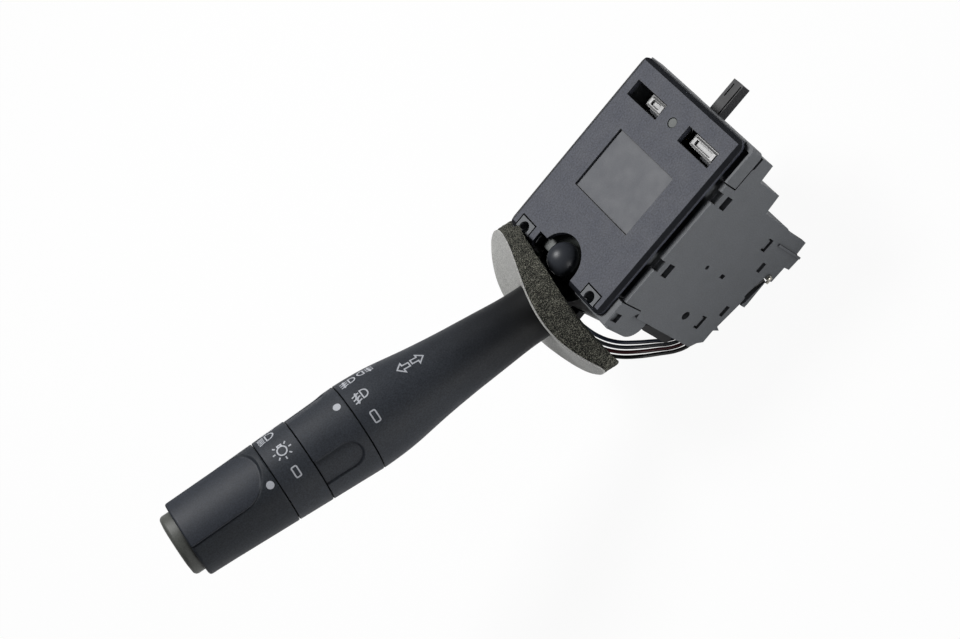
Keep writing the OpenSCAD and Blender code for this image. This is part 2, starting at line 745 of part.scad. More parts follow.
// Flat lead from the front block's nose to the module's corner
module lead_strap() {
    color([0.08, 0.08, 0.09]) hull() {
        translate([1.6, strap_y, nose_foot - 1.2]) rotate([90, 0, 0]) cylinder(r = 1.2, h = strap_w, center = true, $fn = 32);
        translate([1.7, strap_y, -41]) rotate([90, 0, 0]) cylinder(r = 1.9, h = strap_w, center = true, $fn = 32);
    }
}

// Direction of the stalk, and the direction square to it, in the (X, Z) plane
function stalk_way(pull) = [sin(stalk_rise - 90 + pull), cos(stalk_rise - 90 + pull)];
function stalk_side(pull) = [cos(stalk_rise - 90 + pull), -sin(stalk_rise - 90 + pull)];

// Room for the stalk's root inside the drum, at every pull angle
module root_room() {
    h = arm_r + 0.5;
    translate([pivot_x, 0, -pin_depth]) along_y(-slot_half, slot_half) {
        circle(r = boss_r + boss_gap);
        square([boss_r + boss_gap, lug_h + 0.5]);
        polygon([h * stalk_side(pull_max), h * stalk_side(pull_max) + 40 * stalk_way(pull_max),
            40 * stalk_way(0) - h * stalk_side(0), -h * stalk_side(0)]);
    }
}

module turn_drum() {
    color(stalk_black) difference() {
        union() {
            on_pivot() {
                rod(drum_r, drum_low, drum_top);
                rod(dome_r, drum_top - eps, dome_z);
                rod(foot_r, foot_low, drum_low + eps);
                box([drum_r - 4, -arm_y, rear_arm_low], [rear_reach, arm_y, drum_top]);
                translate([drive_pin_x, 0, 0]) rod(1.2, drum_top - eps, slide_low + slide_t - 0.2);
            }
        }
        root_room();
        translate([pivot_x, 0, -pin_depth]) rotate([90, 0, 0]) cylinder(d = pin_d, h = 40, center = true);
        on_pivot() translate([rear_reach - 6, 0, (rear_arm_low + drum_top) / 2]) rotate([0, 90, 0])
            cylinder(r = 1.3, h = 20);
        translate([pivot_x, plunger_y, plunger_z]) rotate([0, 90, 0]) cylinder(r = plunger_r + run_fit, h = 40);
    }
}

plunger_y = 4.5;
plunger_r = 1.1;
plunger_z = -pin_depth + 6.6;
detent_z = (rear_arm_low + drum_top) / 2;

module pivot_dome() {
    color([0.07, 0.07, 0.08]) on_pivot() intersection() {
        translate([0, 0, dome_z]) sphere(r = dome_r);
        translate([-20, -20, dome_z]) cube(40);
    }
}

module tilt_pin() {
    half = sqrt(drum_r * drum_r - pin_d * pin_d / 4) - 0.2;
    color(steel) translate([pivot_x, 0, -pin_depth]) rotate([90, 0, 0]) cylinder(d = pin_d, h = 2 * half, center = true);
}

module detent_plunger() {
    color(nylon) on_pivot() translate([rear_reach - 2, 0, detent_z]) rotate([0, 90, 0]) {
        cylinder(r = 1.25, h = 4);
        translate([0, 0, 4]) sphere(r = 1.25);
    }
}

module detent_spring() {
    color(steel) on_pivot() translate([rear_reach - 6, 0, detent_z]) rotate([0, 90, 0])
        swept(coil_path(0.95, 0.25, 3.7, 5, 12), 0.4, [0, 0, 1], 6);
}

module beam_plunger() {
    color(nylon) translate([pivot_x + lug_x + gap, plunger_y, plunger_z]) rotate([0, 90, 0])
        cylinder(r = plunger_r, h = 4);
}

// Guide on the well's wall that the wires leave through
module wire_guide() {
    color(stalk_black) difference() {
        box([guide_x - 1.6, guide_y(0) - 2, guide_z - 1.8], [guide_x + 1.6, guide_y(3) + 2, guide_z + 1.8]);
        on_pivot() rod(well_out, well_low - 1, 1);
        for (i = [0 : 3]) translate([guide_x - 5, guide_y(i), guide_z]) rotate([0, 90, 0])
            cylinder(d = wire_d + 0.3, h = 10);
    }
}

module stalk_root() {
    color(stalk_black) difference() {
        union() {
            translate([pivot_x, 0, -pin_depth]) {
                rotate([90, 0, 0]) cylinder(r = boss_r, h = 2 * root_half, center = true);
                box([0, -root_half, 0], [lug_x, root_half, lug_h]);
            }
            on_stalk() rod(arm_r, 0, root_end);
        }
        translate([pivot_x, 0, -pin_depth]) rotate([90, 0, 0]) cylinder(d = pin_d + 2 * run_fit, h = 40, center = true);
        on_stalk() rod(shaft_d / 2 + 0.2, 9, root_end + 1);
        translate([pivot_x + lug_x, 0, -pin_depth - 10]) translate([0, -10, 0]) cube([10, 20, 40]);
    }
}

// Diameter of the lever at stations from the ring's seam, as fractions between seam and neck
lever_shape = [[0, 1], [5, 0.98], [10.5, 0.93], [15.5, 0.845], [20.5, 0.73], [25.6, 0.61], [31, 0.5],
    [36.6, 0.4], [42, 0.315], [47, 0.25], [55, 0.145], [62, 0.05], [68, 0]];
lever_l = ring_s - neck_s;

function lever_radius(f) = (neck_d + (seam_d - neck_d) * f) / 2;

module lever_shell() {
    wall = 2.2;
    color(stalk_black) on_stalk() difference() {
        rotate_extrude() polygon(concat([[0, neck_s], [0, ring_s - seam_gap]],
            [for (p = lever_shape) [lever_radius(p[1]), ring_s - seam_gap - p[0]]], [[neck_d / 2, neck_s]]));
        rod(arm_r, neck_s - 1, root_end + 6);
        rotate_extrude() polygon(concat([[0, root_end + 6], [0, ring_s]],
            [for (p = lever_shape) if (ring_s - p[0] > root_end + 6)
                [lever_radius(p[1]) - wall, ring_s - (p[0] == 0 ? -1 : p[0])]],
            [[neck_d / 2 - wall, root_end + 6]]));
    }
}

// Tube that the ring turns on, with a flange in the lever's bore
module carrier_tube() {
    color(stalk_black) on_stalk() difference() {
        union() {
            rod(tube_d / 2, root_end, tube_end);
            rod(arm_r, root_end, root_end + 5);
            rod(seam_d / 2 - 3.4, ring_s - 5, ring_s - 3);
        }
        rod(shaft_d / 2 + run_fit, root_end - 1, tube_end + 1);
    }
}

module fixed_collar() {
    color(stalk_black) on_stalk() difference() {
        translate([0, 0, collar_s + seam_gap]) cylinder(r1 = stalk_radius(collar_s), r2 = stalk_radius(knob_s) + 0.25,
            h = collar_l - 2 * seam_gap);
        rod(tube_d / 2, collar_s - 1, knob_s + 1);
    }
}

// Finger grip cut into a turned piece: a groove with a round end, at an angle about the axis
module grip(angle, s0, s1, r) {
    rotate([0, 0, angle]) difference() {
        union() {
            translate([r / 2, -grip_half, s0]) cube([r, 2 * grip_half, s1 - s0]);
            translate([r / 2, 0, s0]) rotate([0, 90, 0]) cylinder(r = grip_half, h = r);
        }
        translate([0, 0, s0 - 20]) cylinder(r1 = r - grip_depth + taper * 20, r2 = r - grip_depth - taper * 40, h = 60);
    }
}

grip_angles = [-60, 45, 172];

module fog_ring() {
    wall = 2.6;
    color(stalk_black) on_stalk() difference() {
        translate([0, 0, ring_s + seam_gap]) cylinder(r1 = stalk_radius(ring_s), r2 = stalk_radius(collar_s),
            h = ring_l - 2 * seam_gap);
        rod(tube_d / 2 + run_fit, ring_s - 1, collar_s + 1);
        tube(stalk_radius(collar_s) - wall, tube_d / 2 + 2.4, ring_s - 1, collar_s - 4);
        for (a = grip_angles) grip(a, ring_s + 8.6, collar_s + 1, stalk_radius(ring_s + 8.6));
    }
}

module fog_contact() {
    color(brass_tone) on_stalk() tube(tube_d / 2 + 4.6, tube_d / 2 + 2.4, ring_s + 0.8, ring_s + 2.4);
}

module light_knob() {
    hole_r = button_d / 2 + gap;
    s_tip = knob_s + 4.2;
    color(stalk_black) on_stalk() difference() {
        rotate_extrude() polygon([[0, knob_s + seam_gap], [stalk_radius(knob_s), knob_s + seam_gap],
            [rim_d / 2 + taper * rim_edge, rim_s - rim_edge], [rim_d / 2 - rim_edge, rim_s], [0, rim_s]]);
        rod(hole_r, floor_s, rim_s + 1);
        rod(stem_r + run_fit, floor_s - 5, floor_s + 1);
        rod(cell_r, knob_s + 6, floor_s - 2.5);
        rod(shaft_d / 2, knob_s - 1, knob_s + 7);
        // Flattened thumb faces with round ends, on both sides
        for (turn = [0, 180]) rotate([0, 0, turn]) difference() {
            union() {
                translate([4, -facet_half, s_tip + facet_half]) cube([20, 2 * facet_half, 60]);
                translate([4, 0, s_tip + facet_half]) rotate([0, 90, 0]) cylinder(r = facet_half, h = 20);
            }
            translate([rim_d / 2 - facet_depth - facet_r, 0, knob_s])
                cylinder(r1 = facet_r + taper * knob_l, r2 = facet_r, h = knob_l + 0.01);
        }
    }
}

barrel_s = ring_s - 26;

module knob_shaft() {
    color(steel) on_stalk() union() {
        rod(shaft_d / 2, root_end + 2, knob_s + 6);
    }
}

module contact_barrel() {
    color(brass_tone) on_stalk() tube(tube_d / 2 + 3.4, tube_d / 2, barrel_s, barrel_s + 10);
}

module horn_button() {
    r = button_d / 2;
    top = rim_s + button_rise;
    color([0.26, 0.27, 0.26]) on_stalk() union() {
        difference() {
            rotate_extrude() polygon([[0, rim_s - 6], [r, rim_s - 6], [r, top - 1.8], [r - 0.35, top - 0.9],
                [r - 1.2, top - 0.3], [r - 2.4, top - 0.1], [0, top]]);
            rod(r - 1.4, rim_s - 7, rim_s + button_rise - 2.4);
        }
        rod(stem_r, floor_s - 3.2, top - 1);
        rod(head_r, floor_s - 4.8, floor_s - 2.5 - gap);
    }
}

module horn_spring() {
    color(steel) on_stalk() swept(coil_path(6.4, floor_s + 0.45, rim_s + button_rise - 2.9, 4, 20), 0.8, [0, 0, 1], 6);
}

module horn_contact() {
    color(brass_tone) on_stalk() rod(cell_r, floor_s - 4.8 - button_travel - 1.3, floor_s - 4.8 - button_travel - gap);
}

gasket_hole = neck_d + 0.04;
gasket_turn = -1.5;
gasket_shift = [0.15, 0.35];
gasket_lean = 0.05;
gasket_slope = -0.089;
foam_front = 0.4;

// Station of the gasket's outer face at a point across the stalk: leaned, twisted and bent
function outer_station(p) = let (y = 2 * p[1] / gasket_l)
    film_reach + gasket_slope * p[1] + gasket_lean * p[0] - gasket_twist * 4 * p[0] * p[1] / (gasket_w * gasket_l)
    - gasket_bend * (0.13 * y * y + 0.87 * y * y * y * y) + 2.7 * y * y * y;

// Station of the foam's face on the housing side, kept off the front blocks and the cover's edge
function inner_station(p) = let (y = 2 * p[1] / gasket_l, f = min(1, max(0, 0.8 + p[0] / 12)),
        near = foam_t * (1 - 0.245 * sin(200 * y)) - 2 * pow(y, 8))
    max(outer_station(p) - film_t - foam_thin - (near - foam_thin) * f,
        min((pivot_x + sin(stalk_rise) * p[0] - front_x + foam_front) / cos(stalk_rise),
            (pin_depth + foam_front - cos(stalk_rise) * p[0]) / sin(stalk_rise)));

// Unit vector with its components drawn in a little, for the plan's slightly pointed ends
function lens(a) = [sign(cos(a)) * pow(abs(cos(a)), 1.15), sign(sin(a)) * pow(abs(sin(a)), 1.15)];

// Point of the gasket's plan, at share f from its hole to its rim
function plan_point(f, a) = let (
        hole = gasket_hole / 2 * [cos(a), sin(a)],
        q = [gasket_w / 2 * lens(a)[0], gasket_l / 2 * lens(a)[1]],
        rim = gasket_shift + [q[0] * cos(gasket_turn) - q[1] * sin(gasket_turn),
            q[0] * sin(gasket_turn) + q[1] * cos(gasket_turn)])
    hole + f * (rim - hole);

// Ring-shaped solid between two faces, each a station at a point of the plan
module gasket_sheet(outer, inner, rings = 5, n = 60) {
    plan = [for (k = [0 : rings], j = [0 : n - 1]) plan_point(k / rings, 360 * j / n)];
    pts = concat([for (p = plan) [p[0], p[1], outer(p)]], [for (p = plan) [p[0], p[1], inner(p)]]);
    m = (rings + 1) * n;
    skin = [for (k = [0 : rings - 1], j = [0 : n - 1]) let (a = k * n + j, b = k * n + (j + 1) % n)
        each [[a, b, b + n], [a, b + n, a + n], [m + a, m + b + n, m + b], [m + a, m + a + n, m + b + n]]];
    edge = [for (j = [0 : n - 1]) let (a = j, b = (j + 1) % n, c = rings * n + j, d = rings * n + (j + 1) % n)
        each [[a, m + b, b], [a, m + a, m + b], [c, d, m + d], [c, m + d, m + c]]];
    on_stalk() polyhedron(points = pts, faces = concat(skin, edge));
}

module gasket_foam() {
    color([0.24, 0.25, 0.22]) gasket_sheet(function(p) outer_station(p) - film_t, function(p) inner_station(p));
}

module gasket_film() {
    color([0.6, 0.6, 0.59]) gasket_sheet(function(p) outer_station(p), function(p) outer_station(p) - film_t);
}

// Cranked finger with a round hub on its pin and two grooves along its top
module cancel_finger() {
    tip = cover_l + finger_reach;
    y0 = -finger_crank - finger_w / 2;
    y1 = -finger_crank + finger_w / 2;
    color(stalk_black) difference() {
        union() {
            translate([finger_x, 0, finger_top - finger_h]) cylinder(r = 5, h = finger_h);
            box([finger_x, y0, finger_top - finger_h], [tip, y1, finger_top]);
            box([finger_x - 13, -1.6, finger_top - finger_h], [finger_x, 1.6, finger_top - 1]);
        }
        translate([finger_x, 0, finger_top - 10]) cylinder(r = finger_pin_d / 2 + run_fit, h = 20);
        box([finger_x + 9, y0 + 0.25, finger_top - 0.4], [tip - 0.8, y0 + 0.85, finger_top + 1]);
        box([tip - 6.5, y1 - 1.6, finger_top - 0.4], [tip - 1.4, y1 - 1.15, finger_top + 1]);
    }
}

module finger_spring() {
    color(steel) translate([finger_x, 0, 0])
        swept(coil_path(finger_pin_d / 2 + 1.1, finger_top + 0.6, -cover_t - 0.8, 4, 16), 0.7, [0, 0, 1], 6);
}

top_cover();
switch_base();
side_plate();
contact_module();
connector_block_a();
connector_block_b();
blades_a();
blades_b();
track_plate();
upper_contact_plate();
pawl_left();
pawl_right();
finger_pin();
bearing_ring();
foot_bush();
detent_cam();
slider_rails();
wire_clip();
solder_tag();
wire_black();
wire_red();
wire_grey();
wire_blue();
lead_strap();
turn_drum();
pivot_dome();
tilt_pin();
detent_plunger();
detent_spring();
beam_plunger();
wire_guide();
stalk_root();
lever_shell();
carrier_tube();
fixed_collar();
gasket_foam();
gasket_film();
fog_ring();
fog_contact();
light_knob();
knob_shaft();
contact_barrel();
horn_button();
horn_spring();
horn_contact();
cancel_finger();
finger_spring();
turn_slider();
slider_contacts();
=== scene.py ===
"""Looks of a combination stalk switch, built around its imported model.

Everything is in metres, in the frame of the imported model: +X runs from the
stalk to the housing's column end, +Y across the housing, +Z out of its cover.
"""

from __future__ import annotations

import json
import logging
import math
from dataclasses import dataclass
from enum import Enum
from typing import Callable, Sequence

import bmesh
import bpy
from mathutils import Matrix, Vector, noise

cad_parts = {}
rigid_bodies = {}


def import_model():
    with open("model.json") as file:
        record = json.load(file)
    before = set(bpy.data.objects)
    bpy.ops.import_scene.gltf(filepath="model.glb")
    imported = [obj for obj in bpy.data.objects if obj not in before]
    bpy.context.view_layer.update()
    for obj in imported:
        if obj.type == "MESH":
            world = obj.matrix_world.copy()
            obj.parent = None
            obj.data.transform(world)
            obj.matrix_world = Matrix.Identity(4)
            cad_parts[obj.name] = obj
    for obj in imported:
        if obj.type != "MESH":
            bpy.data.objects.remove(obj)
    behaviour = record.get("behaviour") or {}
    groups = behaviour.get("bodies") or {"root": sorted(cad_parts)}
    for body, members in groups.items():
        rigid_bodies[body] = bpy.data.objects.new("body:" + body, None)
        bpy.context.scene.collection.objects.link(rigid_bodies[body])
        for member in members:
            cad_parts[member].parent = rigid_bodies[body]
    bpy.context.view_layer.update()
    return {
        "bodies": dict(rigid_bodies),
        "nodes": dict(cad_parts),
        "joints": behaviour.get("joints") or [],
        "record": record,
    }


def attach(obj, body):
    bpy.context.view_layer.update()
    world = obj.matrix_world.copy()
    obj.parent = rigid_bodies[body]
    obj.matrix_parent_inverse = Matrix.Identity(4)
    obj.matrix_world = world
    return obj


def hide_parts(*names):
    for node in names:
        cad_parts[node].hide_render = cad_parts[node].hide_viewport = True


LOG = logging.getLogger("stalk_switch")
MM = 0.001
ACROSS = Vector((0, 1, 0))
Point2 = tuple[float, float]
Point3 = tuple[float, float, float]
Rgb = tuple[float, float, float]
Rgba = tuple[float, float, float, float]
Surface = Callable[[float, float], float]


def linear(rgb: Rgb) -> Rgba:
    """Turns a display colour of 0 to 255 into Blender's linear RGBA.

    Args:
        rgb: Red, green and blue as they look on a screen.

    Returns:
        The linear colour with full alpha.
    """
    values = []
    for channel in rgb:
        c = channel / 255
        values.append(c / 12.92 if c <= 0.04045 else ((c + 0.055) / 1.055) ** 2.4)
    return (values[0], values[1], values[2], 1.0)


def smoothstep(low: float, high: float, value: float) -> float:
    """Gives 0 below low, 1 above high and a smooth rise between them."""
    t = min(1.0, max(0.0, (value - low) / (high - low)))
    return t * t * (3 - 2 * t)


def spaced(start: float, end: float, step: float) -> list[float]:
    """Gives stations from start to end, no further apart than step."""
    count = max(1, math.ceil(abs(end - start) / step))
    return [start + (end - start) * i / count for i in range(count + 1)]


def curve_through(points: Sequence[Point2], x: float) -> float:
    """Reads a smooth curve that starts level and runs through given points.

    Args:
        points: Points with rising first values.
        x: Where the curve is read.

    Returns:
        The curve's height, which stays level beyond its ends.
    """
    if x < points[0][0]:
        return points[0][1]
    for i in range(len(points) - 1):
        (x0, y0), (x1, y1) = points[i], points[i + 1]
        if x0 <= x <= x1:
            before = points[max(i - 1, 0)]
            after = points[min(i + 2, len(points) - 1)]
            t = (x - x0) / (x1 - x0)
            m0 = (y1 - before[1]) / (x1 - before[0] + 1e-9) * (x1 - x0) if i > 0 else 0.0
            m1 = (after[1] - y0) / (after[0] - x0 + 1e-9) * (x1 - x0)
            return ((2 * t ** 3 - 3 * t * t + 1) * y0 + (t ** 3 - 2 * t * t + t) * m0
                    + (3 * t * t - 2 * t ** 3) * y1 + (t ** 3 - t * t) * m1)
    return points[-1][1]


def slot_distance(across: float, along: float) -> float:
    """Gives the distance from a line that starts at 0 and runs on along the stalk."""
    return abs(across) if along > 0 else math.hypot(across, along)


# Finishes


class NodeNames(str, Enum):
    """Shader node types that the finishes and the studio use."""

    COORDS = "ShaderNodeTexCoord"
    NOISE = "ShaderNodeTexNoise"
    RAMP = "ShaderNodeValToRGB"
    RANGE = "ShaderNodeMapRange"
    BUMP = "ShaderNodeBump"
    MIX = "ShaderNodeMix"
    BSDF = "ShaderNodeBsdfPrincipled"
    OUTPUT = "ShaderNodeOutputMaterial"
    MATH = "ShaderNodeMath"
    SCALE = "ShaderNodeVectorMath"
    PAINTED_SHADE = "ShaderNodeAmbientOcclusion"
    SPLIT = "ShaderNodeSeparateXYZ"
    DIFFUSE = "ShaderNodeBsdfDiffuse"
    GLOW = "ShaderNodeEmission"
    RAY = "ShaderNodeLightPath"
    ADD_SHADER = "ShaderNodeAddShader"
    MIX_SHADER = "ShaderNodeMixShader"
    SKY = "ShaderNodeBackground"
    WORLD = "ShaderNodeOutputWorld"


class NodeSheet:
    """A node tree that is filled one node at a time."""

    def __init__(self, tree: bpy.types.NodeTree) -> None:
        """Takes a tree and empties it."""
        self.tree = tree
        tree.nodes.clear()

    def add(self, kind: str, inputs: dict[str | int, object], operation: str = "") -> bpy.types.Node:
        """Adds a node, links the inputs that are given as sockets and sets the others.

        Args:
            kind: Type of the node.
            inputs: Socket or value for each input that doesn't stay as it is.
            operation: Operation of a node that calculates.

        Returns:
            The new node.
        """
        node = self.tree.nodes.new(kind)
        if operation:
            node.operation = operation
        for key, value in inputs.items():
            if isinstance(value, bpy.types.NodeSocket):
                self.tree.links.new(value, node.inputs[key])
            else:
                node.inputs[key].default_value = value
        return node

    def noise(self, place: bpy.types.NodeSocket, size: float, detail: float) -> bpy.types.NodeSocket:
        """Adds an even noise with patches of a size in metres."""
        node = self.add(NodeNames.NOISE, {"Vector": place, "Scale": 1 / size, "Detail": detail})
        return node.outputs["Fac"]

    def times(self, first: bpy.types.NodeSocket, second: object) -> bpy.types.NodeSocket:
        """Multiplies a value by a value or a number."""
        return self.add(NodeNames.MATH, {0: first, 1: second}, "MULTIPLY").outputs[0]

    def ramp(self, value: bpy.types.NodeSocket,
             stops: tuple[tuple[float, Rgba], ...]) -> bpy.types.NodeSocket:
        """Turns a value into a colour between two stops.

        Args:
            value: The value.
            stops: Position and colour of the first and the last stop.

        Returns:
            The colour.
        """
        node = self.add(NodeNames.RAMP, {"Fac": value})
        for element, (position, colour) in zip(node.color_ramp.elements, stops):
            element.position = position
            element.color = colour
        return node.outputs["Color"]

    def bump(self, height: bpy.types.NodeSocket, strength: float, depth: float) -> bpy.types.NodeSocket:
        """Adds a relief of a depth in metres."""
        node = self.add(NodeNames.BUMP, {"Height": height, "Strength": strength, "Distance": depth})
        return node.outputs["Normal"]


def new_material(name: str) -> tuple[bpy.types.Material, NodeSheet]:
    """Makes a material with an empty node tree.

    Args:
        name: Name of the material.

    Returns:
        The material and its tree.
    """
    material = bpy.data.materials.new(name)
    material.use_nodes = True
    return material, NodeSheet(material.node_tree)


@dataclass(frozen=True)
class Finish:
    """A moulded, printed or metal surface.

    Attributes:
        name: Name of the material.
        colour: Display colour, 0 to 255.
        roughness: Middle roughness.
        grain: Size of the surface grain in metres.
        grain_depth: Height of the grain in metres.
        mottle: Share by which the colour varies.
        mottle_size: Size of the colour's patches in metres.
        specular: Specular level.
        metallic: 1 for metal.
        transmission: Share of light that passes.
        speckle: Share by which the finest grain varies the colour.
        dust: Size of that finest grain in metres.
        painted_shade_reach: Reach of the painted shade in corners and creases, in metres.
        painted_shade_depth: Share of the colour that the painted shade takes in the deepest corners.
        neck_painted_shade: Share of the colour that the painted shade leaves where the stalk leaves the
            gasket.
        neck_painted_shade_full_at: Place along X where that painted shade is full.
        neck_painted_shade_end_at: Place along X where the painted shade ends.
        shine_change: Change of the roughness either way.
    """

    name: str
    colour: Rgb
    roughness: float = 0.5
    grain: float = 0.35 * MM
    grain_depth: float = 0.02 * MM
    mottle: float = 0.06
    mottle_size: float = 6 * MM
    specular: float = 0.5
    metallic: float = 0.0
    transmission: float = 0.0
    speckle: float = 0.06
    dust: float = 0.42 * MM
    painted_shade_reach: float = 1.6 * MM
    painted_shade_depth: float = 0.75
    neck_painted_shade: float = 1.0
    neck_painted_shade_full_at: float = -20 * MM
    neck_painted_shade_end_at: float = -56 * MM
    shine_change: float = 0.07

    def build(self) -> bpy.types.Material:
        """Makes the node material.

        Returns:
            The new material.
        """
        material, sheet = new_material(self.name)
        place = sheet.add(NodeNames.COORDS, {}).outputs["Object"]
        patches = sheet.noise(place, self.mottle_size, 4)
        rough = sheet.add(NodeNames.RANGE, {
            "Value": patches, "To Min": max(0.02, self.roughness - self.shine_change),
            "To Max": min(1.0, self.roughness + self.shine_change)})
        bsdf = sheet.add(NodeNames.BSDF, {
            "Base Color": self.shaded_colour(sheet, place, patches), "Roughness": rough.outputs["Result"],
            "Normal": sheet.bump(sheet.noise(place, self.grain, 3), 0.6, self.grain_depth),
            "Specular IOR Level": self.specular, "Metallic": self.metallic,
            "Transmission Weight": self.transmission})
        sheet.add(NodeNames.OUTPUT, {"Surface": bsdf.outputs["BSDF"]})
        return material

    def shaded_colour(self, sheet: NodeSheet, place: bpy.types.NodeSocket,
                      patches: bpy.types.NodeSocket) -> bpy.types.NodeSocket:
        """Makes the colour with its patches and specks, and with painted shade in corners and at the
        stalk's neck.

        Args:
            sheet: The material's tree.
            place: Place on the piece.
            patches: Noise of the colour's patches.

        Returns:
            The colour.
        """
        base = linear(self.colour)
        dark = tuple(c * (1 - self.mottle) for c in base[:3]) + (1.0,)
        light = tuple(min(1.0, c * (1 + self.mottle)) for c in base[:3]) + (1.0,)
        tone = sheet.ramp(patches, ((0.3, dark), (0.7, light)))
        fleck = sheet.add(NodeNames.RANGE, {
            "Value": sheet.noise(place, self.dust, 2), "From Min": 0.3, "From Max": 0.7,
            "To Min": 1 - self.speckle, "To Max": 1 + self.speckle})
        # Painted shade: ambient occlusion darkens the colour in corners, creases and near other parts.
        corner = sheet.add(NodeNames.PAINTED_SHADE, {"Distance": self.painted_shade_reach})
        corner.samples = 8
        shade = sheet.add(NodeNames.RANGE, {
            "Value": corner.outputs["AO"], "From Min": 0.25, "From Max": 0.95,
            "To Min": 1 - self.painted_shade_depth})
        # Painted shade: the colour darkens towards the stalk's neck, where it leaves the gasket.
        neck = sheet.add(NodeNames.RANGE, {
            "Value": sheet.add(NodeNames.SPLIT, {0: place}).outputs["X"], "From Min": self.neck_painted_shade_full_at,
            "From Max": self.neck_painted_shade_end_at, "To Min": self.neck_painted_shade})
        level = sheet.times(fleck.outputs["Result"], shade.outputs["Result"])
        toned = sheet.times(level, neck.outputs["Result"])
        return sheet.add(NodeNames.SCALE, {0: tone, "Scale": toned}, "SCALE").outputs[0]


@dataclass(frozen=True)
class FoamFinish:
    """Open-cell foam: dark, speckled, with pits.

    Attributes:
        name: Name of the material.
        dark: Colour in the cells.
        light: Colour of the cell walls.
        cell: Size of a cell in metres.
        patch: Size of the denser patches, in cells.
        pit: Depth of the pits in metres.
    """

    name: str = "open_cell_foam"
    dark: Rgb = (32, 33, 31)
    light: Rgb = (172, 171, 156)
    cell: float = 0.34 * MM
    patch: float = 1 / 0.12
    pit: float = 0.3 * MM

    def build(self) -> bpy.types.Material:
        """Makes the node material.

        Returns:
            The new material.
        """
        material, sheet = new_material(self.name)
        place = sheet.add(NodeNames.COORDS, {}).outputs["Object"]
        cells = sheet.add(NodeNames.NOISE, {
            "Vector": place, "Scale": 1 / self.cell, "Detail": 3, "Roughness": 0.65}).outputs["Fac"]
        patches = sheet.noise(place, self.patch * self.cell, 2)
        level = sheet.add(NodeNames.MIX, {"Factor": 0.12, 2: cells, 3: patches}).outputs[0]
        bsdf = sheet.add(NodeNames.BSDF, {
            "Base Color": sheet.ramp(level, ((0.49, linear(self.dark)), (0.68, linear(self.light)))),
            "Normal": sheet.bump(cells, 1.0, self.pit), "Roughness": 0.95, "Specular IOR Level": 0.2})
        sheet.add(NodeNames.OUTPUT, {"Surface": bsdf.outputs["BSDF"]})
        return material


